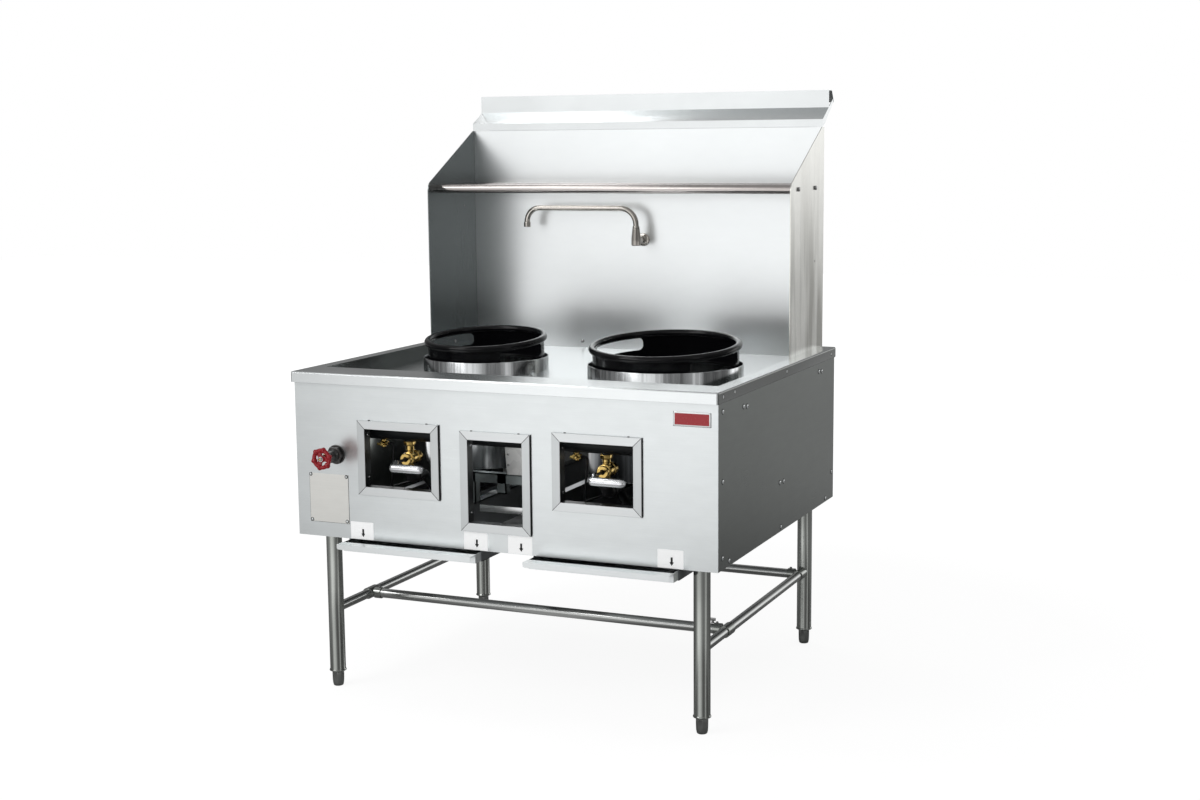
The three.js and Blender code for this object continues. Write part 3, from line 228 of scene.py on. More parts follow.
def painted(name, colour, roughness, metallic=0.0, wear=0.2, relief=0.1, size=90.0, specular=0.5):
    """Paint, enamel or cast skin: fine orange peel, duller dusty patches and a paler dust film."""
    nodes = new_material(name)
    peel = nodes.noise(size, 5.0)
    dust = nodes.noise(14.0, 6.0)
    dusty = tuple(channel * 0.85 + 0.012 for channel in colour)
    rough = nodes.ramp(peel, 0.3, 0.7, roughness - 0.03, roughness + 0.05)
    duller = nodes.ramp(dust, 0.45, 0.75, 0.0, wear * 0.4)
    nodes.dress({
        "Base Color": nodes.tint(nodes.ramp(dust, 0.45, 0.75, 0.0, wear), colour, dusty),
        "Roughness": nodes.calc("ADD", rough, duller),
        "Metallic": metallic,
        "Specular IOR Level": specular,
        "Normal": nodes.bump(peel, relief),
    })
    return nodes.owner


def galvanised_sheet(name, colour):
    """Zinc-coated sheet: crystal-like spangle with stains."""
    nodes = new_material(name)
    cells = nodes.add("ShaderNodeTexVoronoi", {"Scale": 55.0, "Vector": nodes.place("Object")})
    cell_colour = {"Color": cells.outputs["Color"]}
    random_tones = nodes.add("ShaderNodeSeparateColor", cell_colour).outputs
    stains = nodes.noise(9.0, 6.0)
    spangle = nodes.tint(random_tones["Red"], shade(colour, 0.88), shade(colour, 1.06))
    stained = nodes.ramp(stains, 0.5, 0.75, 0.0, 0.6)
    nodes.dress({
        "Base Color": nodes.tint(stained, spangle, shade(colour, 0.6)),
        "Roughness": nodes.ramp(random_tones["Green"], 0.0, 1.0, 0.38, 0.55),
        "Metallic": 0.9,
        "Normal": nodes.bump(stains, 0.1, 0.001),
    })
    return nodes.owner


def stretch_reflections(material, axis, turn, amount):
    """Smears reflections across the grain. axis and turn give the direction."""
    nodes = Nodes(material)
    tangent = nodes.add("ShaderNodeTangent", direction_type="RADIAL", axis=axis)
    nodes.dress({
        "Tangent": tangent.outputs["Tangent"],
        "Anisotropic": amount,
        "Anisotropic Rotation": turn,
    })


def paint_shade_on_sides(material, colour):
    """Painted shade: gives the faces that look along x a darker colour."""
    nodes = Nodes(material)
    sideways = nodes.calc("POWER", nodes.parts("Normal")["X"], 2.0)
    nodes.cover(nodes.ramp(sideways, 0.35, 0.75, 0.0, 1.0), colour)


def add_tilted_bands(material, colour):
    """Long soft dark bands that lean forward towards the top and fade out with the height."""
    nodes = Nodes(material)
    lean = (math.radians(-17), 0.0, 0.0)
    bands = nodes.noise(1.0, 2.0, rough=0.5, scale=(1.0, 15.0, 1.6), turn=lean)
    fade = nodes.ramp(nodes.parts("Object")["Z"], 1.05, 1.35, 1.0, 0.15)
    nodes.cover(nodes.calc("MULTIPLY", nodes.ramp(bands, 0.46, 0.60, 0.0, 0.62), fade), colour)


front_steel = brushed("front_brushed_steel", (0.72, 0.75, 0.755), 0.30, smudge=0.06)
stretch_reflections(front_steel, "Z", 0.25, 0.6)
deck_steel = brushed("deck_brushed_steel", (0.73, 0.755, 0.76), 0.22, relief=0.01, lines=0.06)
stretch_reflections(deck_steel, "X", 0.0, 0.7)
# painted shade: the deck's well walls that face along x are coloured dark
paint_shade_on_sides(deck_steel, (0.20, 0.21, 0.205))
frame_steel = brushed("frame_brushed_steel", (0.66, 0.68, 0.685), 0.30)
frame_steel_upright = brushed("frame_upright_steel", (0.54, 0.56, 0.565), 0.30, ALONG_Z)
# The side panels are the front's steel with painted shade: a much darker base colour.
side_steel_painted_shade = brushed("side_brushed_steel_painted_shade", (0.245, 0.262, 0.252), 0.30, ALONG_Y, smudge=0.08)
wing_steel = brushed("wing_brushed_steel", (0.86, 0.86, 0.82), 0.25, ALONG_Z, smudge=0.06)
add_tilted_bands(wing_steel, (0.30, 0.295, 0.26))
# The left wing is the right wing's steel with painted shade: a much darker base colour.
left_wing_painted_shade_steel = brushed("left_wing_brushed_steel_painted_shade", (0.24, 0.262, 0.265), 0.24, ALONG_Z)
splash_steel = brushed(
    "splash_brushed_steel", (0.88, 0.905, 0.91), 0.30, smudge=0.02, relief=0.0, lines=0.03
)
cap_steel = brushed("cap_brushed_steel", (0.80, 0.825, 0.83), 0.24, lines=0.06)
collar_steel = brushed("collar_brushed_steel", (0.76, 0.78, 0.79), 0.16, ALONG_Z, streaks=0.5)
# The window sleeves are nearly black: painted shade inside the openings.
sleeve_painted_shade_steel = brushed("window_sleeve_steel_painted_shade", (0.10, 0.105, 0.105), 0.40, ALONG_Y)
leg_steel = brushed("leg_tube_steel", (0.39, 0.405, 0.385), 0.13, ALONG_Z, smudge=0.08)
rail_steel = brushed("rail_tube_steel", (0.54, 0.55, 0.54), 0.18, smudge=0.08)
side_rail_steel = brushed("side_rail_steel", (0.50, 0.51, 0.50), 0.18, ALONG_Y, smudge=0.08)
foot_steel = brushed("foot_cast_steel", (0.32, 0.33, 0.32), 0.40, ALONG_Z, smudge=0.15)
tray_steel = brushed("tray_brushed_steel", (0.86, 0.89, 0.895), 0.32)
bar_chrome = polished("rack_bar_polish", (0.50, 0.465, 0.45), 0.14)
faucet_chrome = polished("faucet_chrome", (0.56, 0.53, 0.49), 0.14)
# The water valve's nickel washer, nuts and bonnet are coloured nearly black as painted shade.
valve_painted_shade = polished("water_valve_nickel_painted_shade", (0.10, 0.097, 0.095), 0.32)
grip_chrome = polished("grip_satin_chrome", (0.84, 0.85, 0.87), 0.22)
screw_steel = polished("screw_steel", (0.38, 0.38, 0.38), 0.26)
rivet_steel = polished("rivet_aluminium", (0.78, 0.79, 0.81), 0.22)
zinc_sheet = galvanised_sheet("galvanised_sheet", (0.52, 0.53, 0.53))
stained_zinc = galvanised_sheet("stained_galvanised_sheet", (0.66, 0.66, 0.65))
strap_steel = brushed("strap_bright_steel", (0.88, 0.89, 0.89), 0.34)
stand_steel = brushed("stand_channel_steel", (0.20, 0.21, 0.22), 0.40, ALONG_Y, smudge=0.15)
chamber_outside = brushed("chamber_outside_steel", (0.50, 0.52, 0.53), 0.18, ALONG_Z, streaks=0.6)
chamber_in_shade = brushed("chamber_shaded_steel", (0.08, 0.085, 0.09), 0.30, ALONG_Z, streaks=0.6)
post_steel = brushed("post_angle_steel", (0.26, 0.29, 0.29), 0.42, ALONG_Z, smudge=0.15)
brass = polished("machined_brass", (0.60, 0.42, 0.14), 0.20, relief=0.02)
black_enamel = painted(
    "black_enamel", (0.004, 0.004, 0.005), 0.10, wear=0.1, relief=0.03, specular=0.25
)
black_pipe = painted("black_pipe_paint", (0.008, 0.009, 0.010), 0.36, relief=0.2, specular=0.2)
black_iron = painted(
    "cast_black_iron", (0.010, 0.010, 0.011), 0.45, relief=0.4, size=160.0, specular=0.2
)
dark_steel = painted("dark_chassis_steel", (0.05, 0.055, 0.06), 0.42, metallic=0.5, wear=0.4)
red_paint = painted("red_enamel", (0.35, 0.004, 0.012), 0.24, wear=0.1, relief=0.2)
badge_red = painted("badge_red_enamel", (0.46, 0.008, 0.018), 0.24, wear=0.1, relief=0.03)
sticker_white_painted_glow = painted("sticker_white_film_painted_glow", (0.90, 0.91, 0.91), 0.42, wear=0.06, relief=0.03)
# The white film glows a little: painted light that makes it brighter than the lamps light it.
Nodes(sticker_white_painted_glow).dress({"Emission Color": (1.0, 1.0, 1.0), "Emission Strength": 0.32})
print_black = painted("sticker_black_print", (0.02, 0.02, 0.02), 0.5, wear=0.1, relief=0.02)
plate_silver = brushed("plate_silver", (0.86, 0.855, 0.82), 0.42, smudge=0.06)
# Dark colour for real joints, and for painted shade in gaps and recesses and under edges and heads.
joint_and_shade_dark = painted("dark_joint_and_painted_shade", (0.012, 0.012, 0.012), 0.7, wear=0.1)

# ---------------- mesh shapes
# A shape is a list of (vertices in mm, faces, material). Pieces are made of one or more shapes.


def reach(start, length):
    """The span from start over a length, which may be negative."""
    return (min(start, start + length), max(start, start + length))


def about(middle, half):
    """The span of half to each side of middle."""
    return (middle - half, middle + half)


def on_circle(angle, radius, x=0.0, y=0.0):
    return (x + radius * math.cos(angle), y + radius * math.sin(angle))


def box_shape(x, y, z, material):
    verts = [(a, b, c) for a in x for b in y for c in z]
    faces = [(0, 1, 3, 2), (4, 6, 7, 5), (0, 4, 5, 1), (2, 3, 7, 6), (0, 2, 6, 4), (1, 5, 7, 3)]
    return [(verts, faces, material)]


def boxes(material, *spans):
    """Boxes of one material, each given by its spans along x, y and z."""
    return [shape for x, y, z in spans for shape in box_shape(x, y, z, material)]


def circle(centre, side, other, radius, sides):
    turns = [on_circle(2 * math.pi * i / sides, 1.0) for i in range(sides)]
    return [centre + (side * cos + other * sin) * radius for cos, sin in turns]


def skin(rings):
    """Faces between each ring of vertex numbers and the next. A ring may shrink to one vertex."""
    faces = []
    for low, high in zip(rings, rings[1:]):
        for i in range(len(low)):
            j = (i + 1) % len(low)
            face = tuple(dict.fromkeys((low[i], low[j], high[j], high[i])))
            if len(face) > 2:
                faces.append(face)
    return faces


def axes_from(direction):
    """Two unit vectors square to a direction and to each other."""
    along = Vector(direction).normalized()
    helper = Vector(UP) if abs(along.z) < 0.9 else Vector(RIGHT)
    side = helper.cross(along).normalized()
    return side, along.cross(side)


def turned_shape(profile, origin, direction, material, sides=48):
    """Turns (radius, distance along direction) points round an axis. The profile closes on
    itself, or its two ends are joined to the axis."""
    along = Vector(direction).normalized()
    side, other = axes_from(along)
    closed = profile[0] == profile[-1]
    points = profile[:-1] if closed else [(0, profile[0][1]), *profile, (0, profile[-1][1])]
    points = [p for i, p in enumerate(points) if i == 0 or p != points[i - 1]]
    verts, rings = [], []
    for radius, distance in points:
        centre = Vector(origin) + along * distance
        if radius == 0:
            rings.append([len(verts)] * sides)
            verts.append(centre)
        else:
            rings.append(list(range(len(verts), len(verts) + sides)))
            verts += circle(centre, side, other, radius, sides)
    if closed:
        rings.append(rings[0])
    return [(verts, skin(rings), material)]


def upright(profile, x, y, material, sides=48):
    """Turns (radius, z) points round an upright axis."""
    return turned_shape(profile, (x, y, 0), UP, material, sides)


def level(profile, x, z, material, sides=48):
    """Turns (radius, y) points round an axis from front to back."""
    return turned_shape(profile, (x, 0, z), BACK, material, sides)


def disc(radius, thickness, place, direction, material, sides=28):
    return turned_shape([(radius, 0), (radius, thickness)], place, direction, material, sides)


def draw_in(stations, radius, size):
    """The same stations with a quarter circle of that size at both ends."""
    quarter = (0.0, 0.4, 0.8, 1.2, math.pi / 2)
    inset = [(size * (1 - math.sin(a)), radius - size * (1 - math.cos(a))) for a in quarter]
    (first, first_way, _), (last, last_way, _) = stations[0], stations[-1]
    head = [(first + first_way * back, first_way, narrow) for back, narrow in reversed(inset)]
    tail = [(last - last_way * back, last_way, narrow) for back, narrow in inset]
    return head + stations[1:-1] + tail


def tube_shape(corners, bends, radius, material, sides=24, steps=10, edge=0.0):
    """A round bar along straight runs joined by round bends, with closed ends. bends has one
    radius for each bend, and edge rounds the ends."""
    points = [Vector(corner) for corner in corners]
    stations = [(points[0], (points[1] - points[0]).normalized(), radius)]
    for i, bend in enumerate(bends, start=1):
        into = (points[i] - points[i - 1]).normalized()
        out = (points[i + 1] - points[i]).normalized()
        turn = into.angle(out)
        start = points[i] - into * bend * math.tan(turn / 2)
        inward = (out - into * out.dot(into)).normalized()
        for step in range(steps + 1):
            angle = turn * step / steps
            point = start + into * bend * math.sin(angle) + inward * bend * (1 - math.cos(angle))
            stations.append((point, into * math.cos(angle) + inward * math.sin(angle), radius))
    stations.append((points[-1], (points[-1] - points[-2]).normalized(), radius))
    if edge:
        stations = draw_in(stations, radius, edge)
    side, _ = axes_from(stations[0][1])
    verts = []
    for point, tangent, size in stations:
        side = (side - tangent * side.dot(tangent)).normalized()
        verts += circle(point, side, tangent.cross(side), size, sides)
    rings = [range(first, first + sides) for first in range(0, len(verts), sides)]
    faces = skin(rings) + [tuple(reversed(rings[0])), tuple(rings[-1])]
    return [(verts, faces, material)]


def rod_shape(radius, start, end, material, sides=32, edge=0.0):
    """A straight round bar, with rounded edges where edge is given."""
    return tube_shape([start, end], [], radius, material, sides=sides, edge=edge)


def prism_faces(count):
    """Faces of a body whose vertices are two outlines of count points each."""
    sides = [(i, (i + 1) % count, (i + 1) % count + count, i + count) for i in range(count)]
    return [tuple(reversed(range(count))), tuple(range(count, 2 * count)), *sides]


def outline_shape(outline, axis, span, material):
    """An outline of two coordinates carried along the third axis, in x, y, z order."""
    verts = []
    for end in span:
        for point in outline:
            vert = list(point)
            vert.insert("xyz".index(axis), end)
            verts.append(vert)
    return [(verts, prism_faces(len(outline)), material)]


def rounded_outline(x, y, radius, segments=8):
    """A rectangle with round corners as a list of points."""
    right, left = x[1] - radius, x[0] + radius
    low, high = y[0] + radius, y[1] - radius
    outline = []
    for cx, cy, start in ((right, low, -90), (right, high, 0), (left, high, 90), (left, low, 180)):
        for i in range(segments + 1):
            outline.append(on_circle(math.radians(start + 90 * i / segments), radius, cx, cy))
    return outline


def add_faces(build, verts, faces):
    """Adds vertices and faces to a bmesh, with the faces turned outwards."""
    made = [build.verts.new(v) for v in verts]
    built = [build.faces.new([made[i] for i in face]) for face in faces]
    bmesh.ops.recalc_face_normals(build, faces=built)
    return built


def bevelled(shapes, width, segments=2):
    """The same shapes with their sharp edges rounded by width."""
    result = []
    for verts, faces, material in shapes:
        build = bmesh.new()
        add_faces(build, verts, faces)
        sharp = [edge for edge in build.edges if edge.calc_face_angle(0.0) > math.radians(28)]
        bmesh.ops.bevel(build, geom=sharp, offset=width, segments=segments, affect="EDGES",
                        profile=0.5, clamp_overlap=True)
        build.verts.index_update()
        new_verts = [v.co.copy() for v in build.verts]
        new_faces = [tuple(v.index for v in face.verts) for face in build.faces]
        build.free()
        result.append((new_verts, new_faces, material))
    return result


def hexagon_shape(radius, start, end, material, edge=0.6):
    """A six-sided nut or collar between two points."""
    return bevelled(rod_shape(radius, start, end, material, sides=6), edge)


def temporary_object(shapes):
    mesh = bpy.data.meshes.new("temporary")
    build = bmesh.new()
    for verts, faces, _ in shapes:
        add_faces(build, verts, faces)
    build.to_mesh(mesh)
    build.free()
    return add_object("temporary", mesh)


def carved(shapes, *cutters):
    """The same shapes with the cutters' space taken out of them."""
    tools = [temporary_object(cutter) for cutter in cutters]
    result = []
    for shape in shapes:
        blank = temporary_object([shape])
        for tool in tools:
            change = blank.modifiers.new("cut", "BOOLEAN")
            change.operation = "DIFFERENCE"
            change.solver = "EXACT"
            change.object = tool
        finished = blank.evaluated_get(bpy.context.evaluated_depsgraph_get()).to_mesh()
        verts = [v.co.copy() for v in finished.vertices]
        faces = [tuple(p.vertices) for p in finished.polygons]
        result.append((verts, faces, shape[2]))
        bpy.data.objects.remove(blank)
    for tool in tools:
        bpy.data.objects.remove(tool)
    return result


def turned_about(shapes, origin, axis, degrees):
    """The same shapes turned about an axis through a point."""
    turn = Matrix.Rotation(math.radians(degrees), 3, Vector(axis))
    centre = Vector(origin)
    return [([turn @ (Vector(v) - centre) + centre for v in verts], faces, material)
            for verts, faces, material in shapes]


def piece(name, shapes, replaces=(), body="range", smooth=30.0):
    """Makes one object of several shapes, which rides on a body and may replace CAD nodes."""
    mesh = bpy.data.meshes.new(name)
    build = bmesh.new()
    materials = list(dict.fromkeys(material for _, _, material in shapes))
    for verts, faces, material in shapes:
        for face in add_faces(build, [at(*v) for v in verts], faces):
            face.material_index = materials.index(material)
            face.smooth = True
    build.to_mesh(mesh)
    build.free()
    for material in materials:
        mesh.materials.append(material)
    mesh.set_sharp_from_angle(angle=math.radians(smooth))
    thing = add_object(name, mesh)
    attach(thing, body)
    if replaces:
        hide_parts(*replaces)


# ---------------- finishes of the CAD nodes

NODE_MATERIALS = {
    "front_panel": front_steel,
    "left_side_panel": side_steel_painted_shade,
    "right_side_panel": side_steel_painted_shade,
    "rear_panel": zinc_sheet,
    "deck_top": deck_steel,
    "splash_panel": splash_steel,
    "left_wing": left_wing_painted_shade_steel,
    "right_wing": wing_steel,
    "flue_cap": cap_steel,
    "flue_riser": zinc_sheet,
    "base_frame": dark_steel,
    "water_pipe": zinc_sheet,
    "gas_manifold": black_pipe,
    "left_drip_tray": tray_steel,
    "right_drip_tray": tray_steel,
    "left_burner": black_iron,
    "right_burner": black_iron,
}

for node_name, node_material in NODE_MATERIALS.items():
    for node_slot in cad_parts[node_name].material_slots:
        node_slot.material = node_material

# ---------------- legs, feet and rails

BODY_HALF = 580.0
LEG_X = BODY_HALF - 64.0
LEG_Y = {"front": 64.4, "rear": 906.5}
LEG_RADIUS = 20.65
RAIL_HEIGHT = 211.0
RAIL_RADIUS = 12.7
RAIL_BITE = 2.5  # how far a side rail reaches into a leg
CROSS_Y = {"front": 245.0, "rear": 861.0}
TUBE_WALL = 1.5


def open_tube(start, end, radius, material, edge=0.4):
    """A straight tube with open, slightly rounded ends."""
    way = Vector(end) - Vector(start)
    inner, outer, length = radius - TUBE_WALL, radius - edge, way.length
    profile = [
        (inner, 0.0), (outer, 0.0), (radius, edge), (radius, length - edge), (outer, length),
        (inner, length), (inner, 0.0),
    ]
    return turned_shape(profile, start, way, material)


def make_leg(name, x, y):
    """Leg tube with its flared end ring, open at the top."""
    profile = [
        (9.0, 41.4), (21.4, 41.4), (22.3, 42.0), (22.5, 43.0), (22.3, 44.4), (21.2, 46.2),
        (LEG_RADIUS, 47.2), (LEG_RADIUS, 421.4), (19.2, 421.4), (19.2, 64.0), (9.0, 64.0),
        (9.0, 41.4),
    ]
    piece(f"{name}_tube", upright(profile, x, y, leg_steel, 64), [name])


def make_foot(name, x, y):
    """Adjustable foot: tapered body with wrench flats, stem above."""
    profile = [
        (11.0, 0), (12.4, 0.8), (13.4, 3.0), (14.6, 9.0), (15.3, 18.0), (15.5, 30.0),
        (15.5, 37.5), (14.6, 39.6), (13.2, 41.0), (8.0, 41.0), (8.0, 56.0),
    ]
    half_flat = 13.6  # half the distance between the wrench flats
    shapes = upright(profile, x, y, foot_steel)
    for v in shapes[0][0]:
        if 6.0 < v.z < 33.0:
            v.x = x + max(-half_flat, min(half_flat, v.x - x))
            v.y = y + max(-half_flat, min(half_flat, v.y - y))
    piece(f"{name}_body", shapes, [name], body=name)


def make_tee(name, side, y):
    """Sleeve round the side rail, stub for the cross rail and a small set screw."""
    x = side * LEG_X
    middle = (x, y, RAIL_HEIGHT)
    sleeve = [
        (13.0, -22.0), (15.0, -22.0), (15.5, -21.5), (15.5, 21.5), (15.0, 22.0), (13.0, 22.0),
        (13.0, -22.0),
    ]
    stub = [(13.0, 14.0), (15.5, 14.0), (15.5, 33.4), (15.0, 34.0), (13.0, 34.0), (13.0, 14.0)]
    screw = [(3.4, 0), (3.4, 3.4), (2.8, 4.2)]
    screw_place = (x - side * 26.0, y, RAIL_HEIGHT + 14.9)
    shapes = turned_shape(sleeve, middle, BACK, leg_steel)
    shapes += turned_shape(stub, middle, (-side, 0, 0), leg_steel)
    shapes += turned_shape(screw, screw_place, UP, screw_steel, 16)
    piece(f"{name}_fitting", shapes, [name])


def make_rail(name, start, end, material):
    shapes = open_tube((*start, RAIL_HEIGHT), (*end, RAIL_HEIGHT), RAIL_RADIUS, material)
    piece(f"{name}_tube", shapes, [name])


def make_wing_screw():
    """A wing screw on the front cross rail's right end."""
    x, y, z = 478.0, CROSS_Y["front"], RAIL_HEIGHT + 15.0
    stem = [(4.2, 0), (4.2, 2.0), (3.0, 2.6), (3.0, 9.0)]
    shapes = turned_shape(stem, (x, y, z), UP, screw_steel, 20)
    wing = box_shape(about(x, 8), about(y, 1.2), (z + 5, z + 13), screw_steel)
    piece("rail_wing_screw", shapes + bevelled(wing, 1.1, 3))


def make_legs_and_rails():
    front, rear = LEG_Y["front"] + LEG_RADIUS - RAIL_BITE, LEG_Y["rear"] - LEG_RADIUS + RAIL_BITE
    half = LEG_X - RAIL_RADIUS - 2 * GAP
    for side_name, side in SIDES.items():
        x = side * LEG_X
        for place, y in LEG_Y.items():
            make_leg(f"{place}_{side_name}_leg", x, y)
            make_foot(f"{place}_{side_name}_foot", x, y)
        make_rail(f"{side_name}_side_rail", (x, front), (x, rear), side_rail_steel)
        for place, y in CROSS_Y.items():
            make_tee(f"{place}_{side_name}_rail_tee", side, y)
    for place, y in CROSS_Y.items():
        make_rail(f"{place}_cross_rail", (-half, y), (half, y), rail_steel)
    make_wing_screw()


make_legs_and_rails()

# ---------------- window frames

RIM = 850.0
FRAME_WIDTH = 21.5
FRAME_PROUD = 7.0
FRAME_SLEEVE = 22.0
MITRE_GAP = 0.3
MITRE_LINE = 0.45  # step along x and z from the middle of the joint's drawn line to its edge
LINE_PROUD = 0.06  # how far that line stands out from the strip
# x of the middle, clear width, and bottom and top of the clear opening
WINDOWS = {
    "window_frame_left": (-276.0, 191.0, RIM - 289.5, RIM - 140.0),
    "window_frame_centre": (-2.0, 150.0, RIM - 360.0, RIM - 150.0),
    "window_frame_right": (271.5, 192.0, RIM - 289.5, RIM - 140.0),
}
# Sections of a strip and of the sleeve behind it: distance outwards from the clear opening, and y
STRIP_SECTION = [
    (0.0, -6.5), (0.5, -FRAME_PROUD), (21.0, -FRAME_PROUD), (FRAME_WIDTH, -6.5),
    (FRAME_WIDTH, -0.4), (20.0, -0.4), (20.0, -5.5), (0.0, -5.5),
]
SLEEVE_SECTION = [(0.0, -5.5), (SHEET, -5.5), (SHEET, FRAME_SLEEVE), (0.0, FRAME_SLEEVE)]
PAN_HEAD = [(2.7, 0), (2.7, 0.5), (2.2, 1.2), (1.2, 1.6), (0, 1.7)]


def strip_shape(section, middle, half_length, half_other, turn, material):
    """One mitred strip. turn counts quarter turns from the lower strip."""
    corners = []
    for end in (-1, 1):
        for out, y in section:
            along = end * (half_length + out - MITRE_GAP)
            across = -(half_other + out)
            for _ in range(turn):
                along, across = -across, along
            corners.append((middle[0] + along, y, middle[1] + across))
    return [(corners, prism_faces(len(section)), material)]


def shadow_lines(x, z, width=1.1):
    """Thin dark lines on the front panel at both sides of a rectangle and below it."""
    y, bottom = (-0.35, -0.05), z[0] - width
    left, right = (reach(x[0], -width), y, (bottom, z[1])), (reach(x[1], width), y, (bottom, z[1]))
    return boxes(joint_and_shade_dark, left, right, (x, y, (bottom, z[0])))


def mitre_lines(x, z):
    """Fine dark joints across the frame's corners."""
    shapes = []
    y = (-FRAME_PROUD - LINE_PROUD, -FRAME_PROUD + 0.5)
    length = FRAME_WIDTH - 0.5
    for inner_x, out in zip(x, (-1, 1)):
        for inner_z, away in zip(z, (-1, 1)):
            outline = []
            for distance, signs in ((0.0, (-1, 1)), (length, (1, -1))):
                for sign in signs:
                    line_x = inner_x + out * (distance + sign * MITRE_LINE)
                    outline.append((line_x, inner_z + away * (distance - sign * MITRE_LINE)))
            shapes += outline_shape(outline, "y", y, joint_and_shade_dark)
    return shapes


def make_frame_screws(name, x, half_width, bottom, top):
    """Pan head screws in the sleeve's sides and its sill, and spacers on the frame's top edge."""
    shapes = turned_shape(PAN_HEAD, (x + 6.0, 10.0, bottom), UP, rivet_steel, 20)
    for side in (-1, 1):
        for z in (bottom + 23.0, top - 16.5):
            place = (x + side * half_width, 11.0, z)
            shapes += turned_shape(PAN_HEAD, place, (-side, 0, 0), rivet_steel, 20)
    spacer_z = reach(top + FRAME_WIDTH, 1.4)
    for offset in (-0.88, 0.86):
        spacer_x = about(x + offset * half_width, 2.5)
        shapes += box_shape(spacer_x, (-2.2, -0.2), spacer_z, joint_and_shade_dark)
    piece(f"{name}_screws", shapes)


def make_window_frame(name, x, width, bottom, top):
    middle = (x, (bottom + top) / 2)
    half_width, half_height = width / 2, (top - bottom) / 2
    shapes = []
    for turn in range(4):
        if turn % 2 == 0:
            along, other, material = half_width, half_height, frame_steel
        else:
            along, other, material = half_height, half_width, frame_steel_upright
        shapes += strip_shape(STRIP_SECTION, middle, along, other, turn, material)
        shapes += strip_shape(SLEEVE_SECTION, middle, along, other, turn, sleeve_painted_shade_steel)
    outside_x = about(x, half_width + FRAME_WIDTH)
    # A dark strip of painted shade along the frame's right side.
    right_side_shade = (outside_x[1] - 0.3, outside_x[1] + 0.05)
    shapes += box_shape(right_side_shade, (0.6 - FRAME_PROUD, -0.3), (bottom - 20, top + 20), joint_and_shade_dark)
    shapes += mitre_lines(about(x, half_width), (bottom, top))
    shapes += shadow_lines(outside_x, (bottom - FRAME_WIDTH, top + FRAME_WIDTH))
    piece(f"{name}_strips", shapes, [name], smooth=10.0)
    make_frame_screws(name, x, half_width, bottom, top)


for frame_name, frame_sizes in WINDOWS.items():
    make_window_frame(frame_name, *frame_sizes)

# ---------------- wings and rack bars

WELL_HALF = 545.0
SPLASH_FACE = 954.0
WELL_BACK = SPLASH_FACE + SHEET + GAP
WING_OUTER = WELL_HALF - GAP
WING_INNER = WING_OUTER - SHEET
WING_FRONT = SPLASH_FACE - 292.0
WING_SHOULDER = RIM + 440.0
WING_RADIUS = 25.0
WING_TOP = RIM + 613.0 - GAP
WING_TOP_FRONT = SPLASH_FACE - 6.0
BODY_DEPTH = 967.0
WELL_SLOPE = 24.0 / (SPLASH_FACE - 98.0)
RACK_BAR_HEIGHT = WING_SHOULDER + 7.0
RACK_BAR_Y = {"front": WING_FRONT + 65.0, "rear": SPLASH_FACE - 72.0}
RACK_BAR_RADIUS = 12.7
HEM = 9.0  # width of the folded edge
HEM_THICKNESS = 1.1
HEM_INSET = 0.35


def well_floor(y):
    return RIM - 29.0 - WELL_SLOPE * (SPLASH_FACE - y)


def wing_edge(inset, segments=10):
    """The wing's front edge from foot to top, moved inwards by inset: upright, round shoulder and
    slope."""
    slope_start = Vector((WING_FRONT + WING_RADIUS * 0.4, WING_SHOULDER + WING_RADIUS))
    slope_end = Vector((WING_TOP_FRONT, WING_TOP))
    corner = Vector((WING_FRONT, WING_SHOULDER + WING_RADIUS * 0.6))
    start = Vector((WING_FRONT, WING_SHOULDER))
    line = [Vector((WING_FRONT, well_floor(WING_FRONT) + GAP)), start]
    for i in range(1, segments + 1):
        t = i / segments
        line.append(start * (1 - t) ** 2 + corner * 2 * t * (1 - t) + slope_start * t * t)
    line.append(slope_end)
    moved = []
    for i, point in enumerate(line):
        before, after = line[max(i - 1, 0)], line[min(i + 1, len(line) - 1)]
        along = (after - before).normalized()
        moved.append(tuple(point + Vector((along.y, -along.x)) * inset))
    return moved


def make_wing(name, side, material):
    back = WELL_BACK - GAP
    outline = wing_edge(0.0) + [
        (BODY_DEPTH, WING_TOP), (BODY_DEPTH, RIM + GAP), (back, RIM + GAP),
        (back, well_floor(back) + GAP),
    ]
    hem = wing_edge(HEM_INSET) + list(reversed(wing_edge(HEM)))
    inner = side * WING_INNER
    shapes = outline_shape(outline, "x", reach(inner, side * SHEET), material)
    shapes += outline_shape(hem, "x", reach(inner, -side * HEM_THICKNESS), material)
    piece(f"{name}_sheet", shapes, [name])


def make_rack_bar(name, y):
    half, z = WING_INNER - GAP, RACK_BAR_HEIGHT
    shapes = open_tube((-half, y, z), (half, y, z), RACK_BAR_RADIUS, bar_chrome)
    piece(f"{name}_tube", shapes, [name])


def screw_head(place, direction, radius, height, material, socket=True):
    """A domed screw head with a small dark cone on top: painted shade for its socket."""
    dome = [
        (radius, 0), (radius, height * 0.3), (radius * 0.86, height * 0.75),
        (radius * 0.5, height), (0, height * 1.02),
    ]
    shapes = turned_shape(dome, place, direction, material, 24)
    if socket:
        top = Vector(place) + Vector(direction) * height
        recess = [(radius * 0.38, 0), (radius * 0.3, height * 0.08)]
        shapes += turned_shape(recess, top, direction, joint_and_shade_dark, 6)
    return shapes


